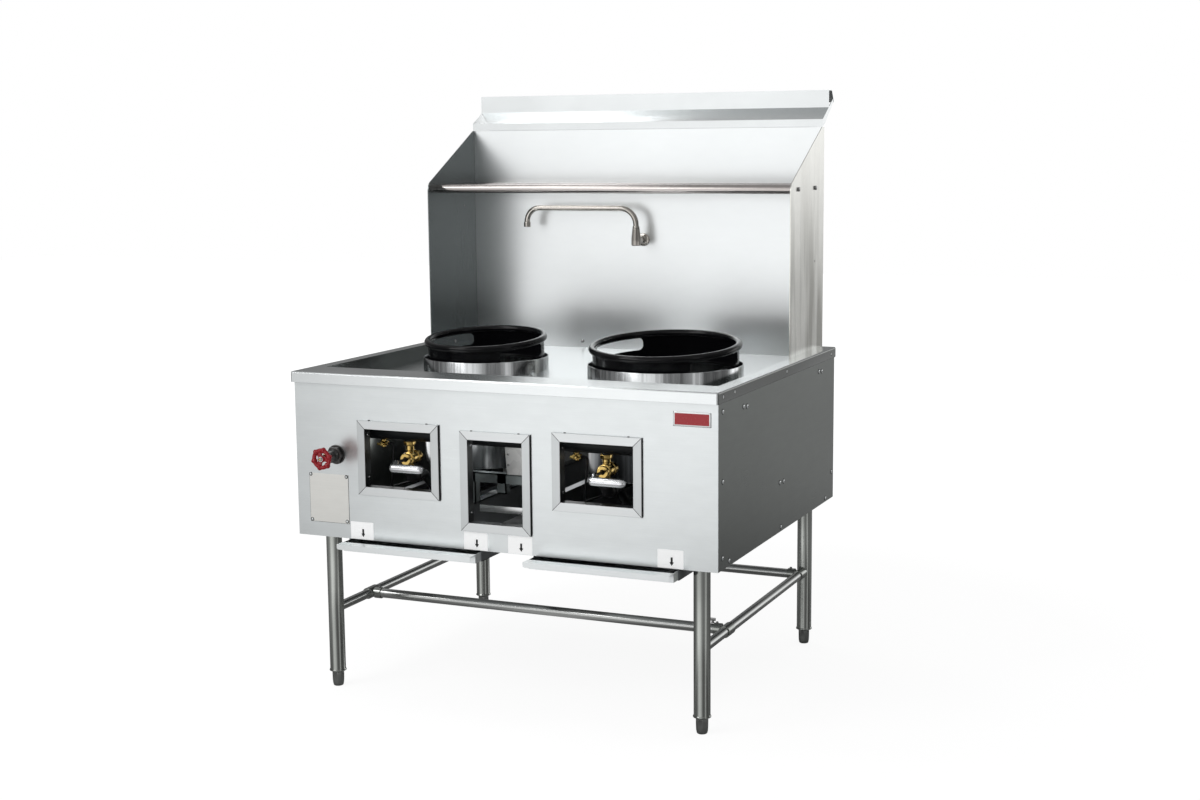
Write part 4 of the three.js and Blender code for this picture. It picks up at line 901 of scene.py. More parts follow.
def make_bolts():
    """The rack bars' nuts, and screws in the wings and the splash back."""
    bolts = []
    for side in (-1, 1):
        for y in RACK_BAR_Y.values():
            outside = Vector((side * WING_OUTER, y, RACK_BAR_HEIGHT))
            bolts += hexagon_shape(6.6, outside, outside + Vector((side * 4.4, 0, 0)), screw_steel)
    for place in ((WING_OUTER, 886.0, 1096.0), (-WING_INNER, 882.0, 1242.0)):
        bolts += screw_head(place, RIGHT, 2.2, 1.1, screw_steel, socket=False)
    bolts += screw_head((-WING_INNER, 807.0, 842.0), RIGHT, 5.0, 3.0, screw_steel)
    for x in (-191.0, 191.0):
        bolts += screw_head((x, SPLASH_FACE, 839.0), FRONT, 5.0, 3.4, screw_steel)
    piece("wing_and_splash_bolts", bolts)


make_wing("left_wing", -1, left_wing_painted_shade_steel)
make_wing("right_wing", 1, wing_steel)
for bar_place, bar_y in RACK_BAR_Y.items():
    make_rack_bar(f"rack_bar_{bar_place}", bar_y)
make_bolts()

# ---------------- chambers, rings and burners

BURNER_Y = 490.0
CHAMBER_BOTTOM = RIM - 292.0
CHAMBER_FLOOR = CHAMBER_BOTTOM + 3.0
# ring is the wok ring's radius, stem the height of the gas valve's stem, and channel_top the height
# of the stand's channels. The other three are places along x.
Burner = namedtuple("Burner", "x ring valve_x stem pilot_x channel_top")
BURNERS = {
    "left": Burner(-276.0, 160.0, -284.0, 628.0, -361.0, CHAMBER_BOTTOM - 51.0),
    "right": Burner(256.0, 194.0, 265.0, 632.0, 185.0, CHAMBER_BOTTOM - 6.0),
}
COLLAR_SPACE = 12.5
COLLAR_TOP = RIM - 4.7
COLLAR_SHEET = 2.0
SEAT_TOP = RIM - 22.0
SEAT_WIDTH = 21.0
SEAT_SHEET = 3.0
BURNER_HOLE = 65.0
THROAT_WIDTH = 180.0
THROAT_HEIGHT = 90.0
THROAT_BOTTOM = RIM - 160.0
THROAT_FRONT = 935.5
SEAM_ANGLE = math.radians(-215)  # a rolled seam down the cylinder, at the back left
RING_TUBE = 9.5
RING_SHEET = 3.0
RING_HEIGHT = RIM + 42.0
RING_TILT = 4.4
RING_WINDOW_ANGLES = (158.5, -21.5)
RING_WINDOW_SPAN = 57.0
RING_WINDOW_HEIGHT = 33.0
RING_WINDOW_CORNER = 12.0
BUTT_WELD_ANGLE = math.radians(68)
TACK_ANGLES = (-128, -96, -64, 12, 120, 200)


def duct_shapes(x, y, z, material):
    """Four walls of sheet round an open way from front to back."""
    floor, ceiling = (x, y, reach(z[0], SHEET)), (x, y, reach(z[1], -SHEET))
    left, right = (reach(x[0], SHEET), y, z), (reach(x[1], -SHEET), y, z)
    return boxes(material, floor, ceiling, left, right)


def make_chamber(name, burner):
    radius = burner.ring + COLLAR_SPACE
    inner = radius - COLLAR_SHEET
    ledge, ledge_bottom = inner - SEAT_WIDTH, SEAT_TOP - SEAT_SHEET
    bottom, top = CHAMBER_BOTTOM, COLLAR_TOP
    wall = [
        (BURNER_HOLE, bottom), (radius - 1.5, bottom), (radius, bottom + 1.5), (radius, top - 0.9),
        (radius - 0.4, top - 0.2), (radius - 1.0, top), (inner + 0.3, top - 0.2),
        (inner, top - 0.8), (inner, SEAT_TOP), (ledge, SEAT_TOP), (ledge, ledge_bottom),
        (inner, ledge_bottom), (inner, CHAMBER_FLOOR), (BURNER_HOLE, CHAMBER_FLOOR),
        (BURNER_HOLE, bottom),
    ]
    half = THROAT_WIDTH / 2
    duct_x, duct_z = about(burner.x, half), reach(THROAT_BOTTOM, THROAT_HEIGHT)
    duct_y = (BURNER_Y + math.sqrt(radius ** 2 - half ** 2) - 1.0, THROAT_FRONT - GAP)
    passage = box_shape(about(burner.x, half - SHEET), reach(BURNER_Y, 2 * radius),
                        (duct_z[0] + SHEET, duct_z[1] - SHEET), collar_steel)
    shapes = carved(upright(wall, burner.x, BURNER_Y, collar_steel, 128), passage)
    shapes += duct_shapes(duct_x, duct_y, duct_z, collar_steel)
    skin_in, skin_out = radius + 0.05, radius + 0.3
    skin_bottom, skin_top = bottom + 2.0, well_floor(BURNER_Y) - 14.0
    outer_skin = [
        (skin_in, skin_bottom), (skin_out, skin_bottom), (skin_out, skin_top), (skin_in, skin_top),
        (skin_in, skin_bottom),
    ]
    outside = chamber_outside if burner.x < 0 else chamber_in_shade
    shapes += upright(outer_skin, burner.x, BURNER_Y, outside, 128)
    seam = on_circle(SEAM_ANGLE, radius, burner.x, BURNER_Y)
    shapes += rod_shape(0.8, (*seam, bottom + 2), (*seam, top - 2), collar_steel, 8)
    piece(f"{name}_shell", shapes, [name])


def skirt_shapes(centre, ring):
    """The ring's tilted skirt with its two rounded windows, cut level at the foot."""
    x, y, z = centre
    length = RING_HEIGHT - SEAT_TOP + ring * math.sin(math.radians(RING_TILT))
    inner = ring - RING_SHEET
    section = [(inner, -length), (ring, -length), (ring, 0), (inner, 0), (inner, -length)]
    skirt = turned_shape(section, centre, UP, black_enamel, 160)
    half_window = ring * math.sin(math.radians(RING_WINDOW_SPAN / 2))
    window_z = reach(z - RING_TUBE, -RING_WINDOW_HEIGHT)
    window = rounded_outline(about(x, half_window), window_z, RING_WINDOW_CORNER)
    cutter = outline_shape(window, "y", (y + ring / 2, y + ring * 2), black_enamel)
    cutters = [turned_about(cutter, centre, UP, angle - 90) for angle in RING_WINDOW_ANGLES]
    skirt = turned_about(carved(skirt, *cutters), centre, RIGHT, RING_TILT)
    below = box_shape(about(x, 2 * ring), about(y, 2 * ring), (CHAMBER_BOTTOM, SEAT_TOP + GAP),
                      black_enamel)
    return carved(skirt, below)


def ring_welds(centre, ring):
    """The butt weld across the bead and the seam down the skirt's inside, at the back right, and
    short tack welds under the bead."""
    out = Vector((*on_circle(BUTT_WELD_ANGLE, 1.0), 0))
    along = Vector((-out.y, out.x, 0))
    band = [(RING_TUBE + 0.35 - 0.35 * abs(i) / 6, i * 0.35) for i in range(-6, 7)]
    band = [(0, -2.4), *band, (0, 2.4)]
    shapes = turned_shape(band, centre + out * ring, along, black_enamel, 24)
    inside = centre + out * (ring - RING_SHEET)
    seam_start, seam_end = inside - Vector((0, 0, RING_TUBE)), inside - Vector((0, 0, 44))
    shapes += rod_shape(1.1, seam_start, seam_end, black_enamel, 10, edge=0.5)
    for tack in TACK_ANGLES:
        out = Vector((*on_circle(math.radians(tack), 1.0), 0))
        side = Vector((-out.y, out.x, 0)) * 8
        low = centre + out * ring - Vector((0, 0, RING_TUBE - 0.5))
        shapes += rod_shape(1.7, low - side, low + side, black_enamel, 10, edge=1.4)
    return shapes


def make_ring(name, body, burner):
    """Round bead on a skirt with two rounded windows, tilted up towards the back."""
    centre = Vector((burner.x, BURNER_Y, RING_HEIGHT))
    bead = [on_circle(2 * math.pi * i / 24, RING_TUBE, burner.ring) for i in range(24)]
    parts = turned_shape([*bead, bead[0]], centre, UP, black_enamel, 160)
    parts += ring_welds(centre, burner.ring)
    shapes = skirt_shapes(centre, burner.ring) + turned_about(parts, centre, RIGHT, RING_TILT)
    piece(f"{name}_enamelled", shapes, [name], body=body, smooth=40.0)


def make_burner(name, x):
    """Inlet neck, bell, flange and domed head with rings of jets."""
    seat = CHAMBER_FLOOR + GAP
    inlet = CHAMBER_BOTTOM - 13.0
    top = seat + 62.0
    profile = [
        (21.0, inlet), (22.0, inlet + 1), (22.0, inlet + 8), (26.0, inlet + 10),
        (64.0, CHAMBER_BOTTOM + 0.6), (64.7, CHAMBER_BOTTOM + 1), (64.7, seat), (84.0, seat),
        (85.0, seat + 1.0), (85.0, seat + 4.0), (84.0, seat + 5.0), (67.0, seat + 8.0),
        (65.0, seat + 10.0), (61.6, seat + 48.0), (59.0, seat + 53.0), (52.0, seat + 59.0),
        (45.0, top - 1.0), (38.0, top),
    ]
    nozzle = [(3.2, 0), (3.2, 3.0), (2.4, 4.0), (1.2, 4.0), (1.2, 3.2)]
    shapes = upright(profile, x, BURNER_Y, black_iron, 96)
    for radius, count in ((14.0, 6), (27.0, 12), (40.0, 18)):
        for i in range(count):
            jet = on_circle(2 * math.pi * (i + radius / 40) / count, radius, x, BURNER_Y)
            shapes += turned_shape(nozzle, (*jet, top - 0.2), UP, brass, 12)
    for degrees in (45, 135, 225, 315):
        bolt = on_circle(math.radians(degrees), 76, x, BURNER_Y)
        shapes += hexagon_shape(5.0, (*bolt, seat + 4.6), (*bolt, seat + 8.2), screw_steel)
    piece(f"{name}_casting", shapes, [name])


for burner_side, burner_sizes in BURNERS.items():
    make_chamber(f"{burner_side}_chamber", burner_sizes)
    make_ring(f"{burner_side}_wok_ring", f"{burner_side}_ring", burner_sizes)
    make_burner(f"{burner_side}_burner", burner_sizes.x)

# ---------------- base, stands and link

BASE_HALF = BODY_HALF - 3.6
BASE_BOTTOM = RIM - 430.0 + SHEET + GAP
BASE_TOP = BASE_BOTTOM + SHEET
BASE_Y = (SHEET + GAP, BODY_DEPTH - 3.6)
BASE_RIM = 20.0
DRIP_Y = (200.0, 780.0)
CHANNEL_SHEET = 3.0
CHANNEL_WIDTH = 25.0
CHANNEL_Y = (130.0, 850.0)
CHANNEL_SHARE = 0.8  # of the chamber's radius, from its axis to a channel
LINK_Y = 150.0
LINK_TOP = CHAMBER_BOTTOM + 29.0
STRAP_Y = 100.0
STRAP_Z = (CHAMBER_BOTTOM - 61.0, CHAMBER_BOTTOM - 44.0)
HANGER_BOTTOM = CHAMBER_BOTTOM - 23.0
SHIELD_TOP = RIM - 80.0
TRAYS_X = (-238.0, 289.0)
TRAY_HALF = 192.0
TRAY_BOTTOM = RIM - 456.0
RUNNER_LEDGE = 15.0
SOCKET_LENGTH = 50.0


def channel_offset(burner):
    return CHANNEL_SHARE * (burner.ring + COLLAR_SPACE)


def plate_shapes():
    """The base's plate, made of strips round its two drip openings, and its turned-up rim."""
    edges = [-BASE_HALF]
    for burner in BURNERS.values():
        edges += about(burner.x, channel_offset(burner) - CHANNEL_WIDTH)
    edges.append(BASE_HALF)
    full, z = (-BASE_HALF, BASE_HALF), (BASE_BOTTOM, BASE_TOP)
    rim_z = reach(BASE_TOP, BASE_RIM)
    spans = [(full, (BASE_Y[0], DRIP_Y[0]), z), (full, (DRIP_Y[1], BASE_Y[1]), z)]
    spans += [(x, DRIP_Y, z) for x in zip(edges[::2], edges[1::2])]
    spans += [(reach(side * BASE_HALF, -side * SHEET), BASE_Y, rim_z) for side in (-1, 1)]
    spans += [(full, reach(BASE_Y[0], SHEET), rim_z), (full, reach(BASE_Y[1], -SHEET), rim_z)]
    return boxes(zinc_sheet, *spans)


def angle_post(x, inwards, y, z):
    """An upright angle: a web along y and a face along x."""
    web = (reach(x, inwards * CHANNEL_SHEET), reach(y, CHANNEL_WIDTH), z)
    face = (reach(x, inwards * CHANNEL_WIDTH), reach(y, CHANNEL_SHEET), z)
    return boxes(post_steel, web, face)


def stand_shapes(burner):
    """Two channels under a chamber, each with two posts up to it."""
    offset, top = channel_offset(burner), burner.channel_top
    radius = burner.ring + COLLAR_SPACE
    half_chord = math.sqrt(radius ** 2 - offset ** 2) - CHANNEL_WIDTH
    shapes = []
    for side in (-1, 1):
        edge = burner.x + side * offset
        web = (reach(edge, -side * CHANNEL_SHEET), CHANNEL_Y, (BASE_TOP, top))
        shelf = (reach(edge, -side * CHANNEL_WIDTH), CHANNEL_Y, reach(top, -CHANNEL_SHEET))
        shapes += boxes(stand_steel, web, shelf)
        for y in (BURNER_Y - half_chord, BURNER_Y + half_chord - CHANNEL_WIDTH):
            shapes += angle_post(edge, -side, y, (top, CHAMBER_BOTTOM - GAP))
    return shapes


def link_shapes():
    """The link between the two stands with its posts, hanger, strap and heat shield."""
    left, right = BURNERS["left"], BURNERS["right"]
    left_x, right_x = left.x + channel_offset(left), right.x - channel_offset(right)

    def along(share):
        return left_x + share * (right_x - left_x)

    hanger = along(0.385)
    web_y, flange_y = reach(LINK_Y, CHANNEL_SHEET), reach(LINK_Y, CHANNEL_WIDTH)
    link_x = (left_x - CHANNEL_WIDTH, right_x)
    web = (link_x, web_y, reach(LINK_TOP, -CHANNEL_WIDTH))
    flange = (link_x, flange_y, reach(LINK_TOP, -CHANNEL_SHEET))
    foot = (reach(hanger, -2 * CHANNEL_WIDTH), flange_y, reach(HANGER_BOTTOM, CHANNEL_SHEET))
    shapes = boxes(post_steel, web, flange)
    shapes += angle_post(left_x, -1, LINK_Y, (left.channel_top, LINK_TOP))
    shapes += angle_post(right_x, 1, LINK_Y, (right.channel_top, LINK_TOP))
    shapes += angle_post(hanger, -1, LINK_Y, (HANGER_BOTTOM, LINK_TOP))
    shapes += boxes(zinc_sheet, foot)
    strap = ((along(0.162), right_x), reach(STRAP_Y, CHANNEL_SHEET), STRAP_Z)
    strap_end = (about(right_x, CHANNEL_SHEET), (STRAP_Y, 155.0), STRAP_Z)
    bottom = LINK_TOP - SHEET / 2
    shield = [
        (along(0.402), bottom), (along(0.874), bottom), (along(0.874), SHIELD_TOP),
        (along(0.341), SHIELD_TOP),
    ]
    shapes += bevelled(boxes(strap_steel, strap, strap_end), 0.5)
    shapes += outline_shape(shield, "y", reach(LINK_Y, SHEET), stained_zinc)
    for share, z in ((0.42, 612.0), (0.42, 640.0), (0.40, 700.0)):
        shapes += screw_head((along(share), LINK_Y, z), FRONT, 3.4, 1.8, screw_steel)
    return shapes


def make_base():
    shapes = plate_shapes()
    for burner in BURNERS.values():
        shapes += stand_shapes(burner)
    shapes += link_shapes()
    runner_y = (SHEET + GAP, 860.0)
    runner_bottom = TRAY_BOTTOM - GAP - SHEET
    for tray_x in TRAYS_X:
        for side in (-1, 1):
            edge = tray_x + side * TRAY_HALF
            web = (reach(edge, -side * SHEET), runner_y, (runner_bottom, BASE_BOTTOM))
            ledge = (reach(edge, -side * RUNNER_LEDGE), runner_y, reach(runner_bottom, SHEET))
            shapes += boxes(stand_steel, web, ledge)
    for side in (-1, 1):
        for y in LEG_Y.values():
            bottom, top = [(side * LEG_X, y, BASE_BOTTOM - drop) for drop in (SOCKET_LENGTH, 0.0)]
            shapes += rod_shape(LEG_RADIUS - SHEET - GAP, bottom, top, stand_steel)
    piece("base_plate_and_stands", shapes, ["base_frame"])


make_base()

# ---------------- gas pipes and valves

MANIFOLD_Y = 72.0
MANIFOLD_HEIGHT = RIM - 156.0
MANIFOLD_RADIUS = 21.0
MANIFOLD_LEFT = -545.0
INLET_X = 530.0
INLET_Y = 985.0
INLET_BORE = 17.5
NUT_TOP = MANIFOLD_HEIGHT - MANIFOLD_RADIUS - GAP
ELBOW_HEIGHT = 577.0
ELBOW_TOP = 597.0
ELBOW_Y = MANIFOLD_Y + 30.0
FEED_HEIGHT = CHAMBER_BOTTOM - 38.0
BURNER_INLET = CHAMBER_BOTTOM - 13.0
BARREL_FRONT = 46.0
GRIP_Y = -22.0
GRIP_DROP = 10.0


def make_manifold():
    z = MANIFOLD_HEIGHT
    route = [(MANIFOLD_LEFT, MANIFOLD_Y, z), (INLET_X, MANIFOLD_Y, z), (INLET_X, INLET_Y, z)]
    shapes = tube_shape(route, [32.0], MANIFOLD_RADIUS, black_pipe, sides=40, steps=14, edge=1.2)
    # A dark disc in the open inlet as painted shade inside the pipe.
    shapes += disc(INLET_BORE, 0.4, (INLET_X, INLET_Y - 0.2, z), BACK, joint_and_shade_dark, 40)
    cap = [(20.9, 0), (23.0, 2.0), (23.0, 20.0), (21.0, 22.0)]
    shapes += turned_shape(cap, (MANIFOLD_LEFT + 0.5, MANIFOLD_Y, z), RIGHT, black_iron, 8)
    for burner in BURNERS.values():
        for x, radius in ((burner.valve_x, 14.0), (burner.pilot_x, 9.0)):
            boss = [(radius, NUT_TOP), (radius + 1.5, NUT_TOP + 5.0)]
            shapes += upright(boss, x, MANIFOLD_Y, black_pipe, 32)
    piece("gas_manifold_pipe", shapes, ["gas_manifold"])


def make_gas_valve(name, x, stem):
    """Brass valve: hex nut and neck above, barrel across with its ringed cap, outlet below."""
    nut_bottom = NUT_TOP - 11.0
    neck = [
        (9.6, stem), (9.6, stem + 20.0), (10.8, stem + 22.0), (10.8, nut_bottom - 1.5),
        (12.4, nut_bottom),
    ]
    barrel = [
        (6.2, 6.8), (6.2, 0.6), (6.9, 0.0), (13.8, 0.0), (15.2, 1.0), (15.2, 7.0), (13.6, 8.0),
        (13.6, 11.5), (15.4, 12.2), (17.2, 13.2), (18.0, 15.0), (18.0, 29.0), (17.0, 30.6),
        (15.6, 31.0), (15.6, 44.0), (17.4, 45.0), (17.4, 58.0), (16.4, 59.2), (12.6, 59.6),
        (12.6, 70.0), (11.8, 71.6), (0, 72.0),
    ]
    outlet = [
        (11.0, ELBOW_TOP + GAP), (11.0, ELBOW_TOP + 6), (9.4, ELBOW_TOP + 7), (9.4, stem - 6),
    ]
    nut = [(x, MANIFOLD_Y, z) for z in (nut_bottom, NUT_TOP)]
    shapes = hexagon_shape(15.5, *nut, brass, 1.0)
    shapes += upright(neck, x, MANIFOLD_Y, brass, 40)
    shapes += turned_shape(barrel, (x, BARREL_FRONT, stem), BACK, brass, 56)
    # A dark disc at the bottom of the cap's recess as painted shade.
    shapes += disc(6.0, 0.4, (x, BARREL_FRONT + 6.5, stem), BACK, joint_and_shade_dark, 32)
    for degrees in (35, 215):
        screw_x, screw_z = on_circle(math.radians(degrees), 10.6, x, stem)
        shapes += screw_head((screw_x, BARREL_FRONT, screw_z), FRONT, 1.7, 0.7, brass)
    shapes += upright(outlet, x, MANIFOLD_Y, brass, 40)
    piece(f"{name}_brass", shapes, [name])


def make_lever(side_name, x, stem):
    """Black rod, chrome bend and chrome grip."""
    rod_name, grip_name = f"{side_name}_valve_lever", f"{side_name}_lever_grip"
    body = f"{side_name}_lever"
    start, crank = (x, BARREL_FRONT + 17.7, stem), Vector((x, -2.2, stem))
    end = Vector((x + 10.0, GRIP_Y, stem - GRIP_DROP))
    rod = tube_shape([start, crank, end], [8.0], 4.0, black_pipe, sides=28)
    piece(f"{rod_name}_rod", rod, [rod_name], body=body)
    grip = [
        (0, -5.0), (3.4, -4.8), (6.4, -3.9), (8.8, -2.0), (10.4, 0.8), (11.0, 4.4), (11.0, 76.0),
        (10.6, 80.0), (9.4, 84.4), (7.4, 87.6), (4.4, 89.6), (0, 90.0),
    ]
    shapes = turned_shape(grip, (x, GRIP_Y, stem - GRIP_DROP), RIGHT, grip_chrome)
    knee = Vector((x - 0.4, 2.5, stem + 1.0))
    bend = [knee, knee + (crank - knee) * 0.9, end]
    shapes += tube_shape(bend, [5.0], 6.4, grip_chrome, sides=28, edge=1.5)
    piece(f"{grip_name}_chrome", shapes, [grip_name], body=body)


def make_feed(name, burner):
    """Black pipe from the valve's banded iron elbow to the burner's inlet."""
    x, end_x = burner.valve_x, burner.x
    route = [
        (x, MANIFOLD_Y + 20, ELBOW_HEIGHT), (x, MANIFOLD_Y + 70, ELBOW_HEIGHT),
        (x, MANIFOLD_Y + 130, FEED_HEIGHT), (end_x, BURNER_Y, FEED_HEIGHT),
        (end_x, BURNER_Y, BURNER_INLET - GAP),
    ]
    top, back = (x, MANIFOLD_Y, ELBOW_TOP), (x, ELBOW_Y, ELBOW_HEIGHT)
    elbow = [top, (x, MANIFOLD_Y, ELBOW_HEIGHT), back]
    band = [(16.8, 0), (18.0, 1.4), (18.0, 7.6), (16.8, 9.0)]
    shapes = tube_shape(route, [18.0] * 3, 12.0, black_pipe, sides=28)
    shapes += tube_shape(elbow, [18.0], 15.5, black_iron, sides=40, steps=14)
    shapes += turned_shape(band, top, DOWN, black_iron, 40)
    shapes += turned_shape(band, back, FRONT, black_iron, 40)
    piece(f"{name}_pipe", shapes, [name])


def make_pilot(side_name, burner):
    """Small brass valve with its key, and the thin tube to the burner."""
    x, y, z = burner.pilot_x, MANIFOLD_Y, NUT_TOP - 10.0
    nipple = [(5.0, NUT_TOP - 20), (6.0, NUT_TOP - 19), (6.0, NUT_TOP)]
    shapes = upright(nipple, x, y, brass, 24)
    shapes += hexagon_shape(7.6, (x, y, NUT_TOP - 5), (x, y, NUT_TOP - 0.2), brass, 0.5)
    shapes += rod_shape(6.0, (x, y - 16, z), (x, y + 10, z), brass, 24, edge=1.0)
    shapes += hexagon_shape(6.6, (x + 5, y, z), (x + 12.8, y, z), brass)
    valve = f"{side_name}_pilot_valve"
    piece(f"{valve}_brass", shapes, [valve])
    front = y - 16.3
    key = rod_shape(2.7, (x, front - 1, z), (x, front + 10.0, z), brass, 16)
    wing = box_shape(about(x, 9), reach(front, -5), about(z, 3.5), brass)
    name = f"{side_name}_pilot_key"
    piece(f"{name}_brass", key + bevelled(wing, 1.6, 3), [name], body=name)
    low = BURNER_INLET + 4
    route = [(x + 13.5, y, z), (x + 30, y, z), (x + 20, y, low), (burner.x - 12, BURNER_Y - 22.3, low)]
    line = tube_shape(route, [9.0, 9.0], 2.75, black_pipe, sides=16)
    tube = f"{side_name}_pilot_tube"
    piece(f"{tube}_line", line, [tube])


make_manifold()
for valve_side, burner_sizes in BURNERS.items():
    make_gas_valve(f"{valve_side}_gas_valve", burner_sizes.valve_x, burner_sizes.stem)
    make_lever(valve_side, burner_sizes.valve_x, burner_sizes.stem)
    make_feed(f"{valve_side}_burner_feed", burner_sizes)
    make_pilot(valve_side, burner_sizes)

# ---------------- water valve and handwheel

WATER_X = -460.0
WATER_HEIGHT = RIM - 212.0
WHEEL_RADIUS = 22.4
WHEEL_KNOBS = 6
WHEEL_SPOKES = 3
WHEEL_Y = -70.0
WHEEL_TURN = math.radians(15)


def water_nut(radius, front, back, material, edge):
    ends = [(WATER_X, y, WATER_HEIGHT) for y in (front, back)]
    return hexagon_shape(radius, *ends, material, edge)


def water_rod(radius, front, back, material, sides, edge=0.0):
    ends = [(WATER_X, y, WATER_HEIGHT) for y in (front, back)]
    return rod_shape(radius, *ends, material, sides, edge)


def make_water_valve():
    washer = [(24.0, -3.0), (25.0, -2.4), (25.0, -0.8), (24.4, -0.3)]
    bonnet = [
        (9.6, -46.0), (10.4, -45.0), (10.4, -38.0), (13.0, -36.5), (13.0, -22.0), (16.0, -18.0),
        (17.0, -14.0),
    ]
    shapes = level(washer, WATER_X, WATER_HEIGHT, valve_painted_shade)
    shapes += water_nut(23.5, -14.0, -3.0, valve_painted_shade, 1.2)
    shapes += level(bonnet, WATER_X, WATER_HEIGHT, valve_painted_shade, 40)
    shapes += water_nut(14.0, -34.0, -25.0, valve_painted_shade, 0.9)
    shapes += water_nut(10.6, -56.0, -45.6, brass, 0.8)
    shapes += water_rod(16.0, -1.0, 42.0, faucet_chrome, 40, 1.5)
    shapes += water_nut(18.6, 3.0, 12.0, faucet_chrome, 1.0)
    piece("water_valve_body", shapes, ["water_valve"])


def wheel_rim(around=120, section=20):
    """The rim: a ring whose section swells at each of six knobs."""
    verts, rings = [], []
    for i in range(around):
        angle = 2 * math.pi * i / around
        knob = max(0.0, math.cos(WHEEL_KNOBS * (angle - WHEEL_TURN))) ** 1.4
        size, path = 5.4 + 2.8 * knob, WHEEL_RADIUS - 0.4 + 0.7 * knob
        rings.append(range(len(verts), len(verts) + section))
        for j in range(section):
            out, forward = on_circle(2 * math.pi * j / section, size, path)
            x, z = on_circle(angle, out, WATER_X, WATER_HEIGHT)
            verts.append((x, WHEEL_Y + forward * 0.92, z))
    return [(verts, skin([*rings, rings[0]]), red_paint)]


def wheel_web(steps=8):
    """Three broad spokes with arc-shaped gaps between them."""
    shapes = []
    for spoke in range(WHEEL_SPOKES):
        middle = 360 / WHEEL_SPOKES * spoke
        outline = []
        for radius, half_angle in ((20.5, 24), (8.0, -40)):
            for i in range(steps + 1):
                angle = math.radians(middle + half_angle * (2 * i / steps - 1))
                outline.append(on_circle(angle, radius, WATER_X, WATER_HEIGHT))
        shapes += outline_shape(outline, "y", (WHEEL_Y - 2.2, WHEEL_Y + 3.0), red_paint)
    return bevelled(shapes, 1.3, 3)


def make_handwheel():
    place = (WATER_X, WHEEL_Y, WATER_HEIGHT)
    hub = [(7.2, -6.0), (8.8, -5.0), (9.4, -3.0), (9.4, 3.0), (8.8, 5.0), (8.0, 6.0)]
    washer = [(6.6, -6.7), (7.0, -6.3), (7.0, -5.8)]
    shapes = wheel_rim() + wheel_web()
    shapes += turned_shape(hub, place, BACK, red_paint, 40)
    shapes += turned_shape(washer, place, BACK, rivet_steel, 32)
    shapes += water_nut(5.6, -79.0, -76.5, screw_steel, 0.6)
    shapes += water_rod(2.8, -80.0, -78.8, brass, 20, 0.5)
    shapes += water_rod(4.0, WHEEL_Y + 5, -30.3, brass, 24)
    piece("handwheel_casting", shapes, ["handwheel"], body="handwheel", smooth=45.0)


make_water_valve()
make_handwheel()

# ---------------- faucet

FAUCET_X = 7.0
FAUCET_Y = SPLASH_FACE - 58.0
FAUCET_HEIGHT = RIM + 294.0
FAUCET_TOP = FAUCET_HEIGHT + 35.5
SPOUT_HEIGHT = FAUCET_TOP + 57.0
SPOUT_REACH = 348.0
SPOUT_RADIUS = 8.0


def make_faucet():
    x, y, z = FAUCET_X, FAUCET_Y, FAUCET_HEIGHT
    wall = SPLASH_FACE - GAP
    barrel = [
        (12.6, -14.5), (14.0, -13.0), (14.0, 6.0), (13.4, 12.0), (11.2, 30.0), (10.9, 34.5),
        (10.0, 35.5),
    ]
    neck = [(11.4, y), (11.0, y + 20), (9.4, wall - 14), (12.0, wall - 9), (12.6, wall - 7.4)]
    flange = [
        (12.4, wall - 8), (14.0, wall - 7.6), (14.6, wall - 5.8), (17.0, wall - 5.2),
        (18.6, wall - 3.4), (19.0, wall - 1.2), (18.6, wall),
    ]
    shapes = turned_shape(barrel, (x, y, z), UP, faucet_chrome, 8)
    shapes = bevelled(turned_about(shapes, (x, y, z), UP, 14.0), 1.3, 3)
    shapes += level(neck, x, z, faucet_chrome)
    shapes += level(flange, x, z, faucet_chrome, 56)
    shapes += rod_shape(7.0, (x, wall - 1, z), (x, 970.0, z), zinc_sheet, 24)
    piece("faucet_body_casting", shapes, ["faucet_body"])


def make_spout():
    x, y, foot = FAUCET_X, FAUCET_Y, FAUCET_TOP + GAP
    tip_x, tip = x - SPOUT_REACH, SPOUT_HEIGHT - 56.5
    route = [(x, y, foot), (x, y, SPOUT_HEIGHT), (tip_x, y, SPOUT_HEIGHT), (tip_x, y, tip + 11.5)]
    collar = [(9.6, 0), (10.2, 0.6), (10.2, 4.4), (9.4, 5.6)]
    aerator = [
        (7.6, tip + 2.6), (8.2, tip + 0.5), (9.2, tip), (10.0, tip + 0.9), (10.0, tip + 13.0),
        (9.4, tip + 15.0), (8.0, tip + 15.6),
    ]
    shapes = tube_shape(route, [48.0, 41.0], SPOUT_RADIUS, faucet_chrome, sides=40, steps=22)
    shapes += turned_shape(collar, (x, y, foot), UP, faucet_chrome, 40)
    shapes += upright(aerator, tip_x, y, faucet_chrome, 40)
    piece("faucet_spout_tube", shapes, ["faucet_spout"], body="spout")


make_faucet()
make_spout()

# ---------------- screws, plate, badge and film

SIDE_SCREWS = (
    (25, 836), (106, 837), (514, 836), (922, 835), (31, 800), (181, 791), (207, 788), (815, 798),
    (842, 796), (31, 633), (471, 551), (503, 549), (948, 496), (890, 430), (482, 432), (30, 449),
    (77, 433),
)  # y and z on the side panels
STICKERS = ((-423, -356), (-94, -28), (29, 95), (427, 493))  # x spans
STICKER_Z = (421.0, 466.0)
PLATE_X = (-542.6, -427.0)
PLATE_Z = (458.6, 585.6)
RIVETS = ((-539, 582), (-432, 581), (-538, 463), (-433, 464))
RIVET_DOME = [(3.6, 0), (3.5, 0.6), (2.8, 1.7), (1.6, 2.4), (0, 2.6)]
BADGE_X = (469.0, 562.0)
BADGE_Z = (766.0, 800.0)
BADGE_INSET = 3.4
RIM_HEIGHT = 28.0
RIM_OUT = BODY_HALF + 3.77  # where screw heads are set in the rim's side
PRINT_Y = (-0.4, -0.2)


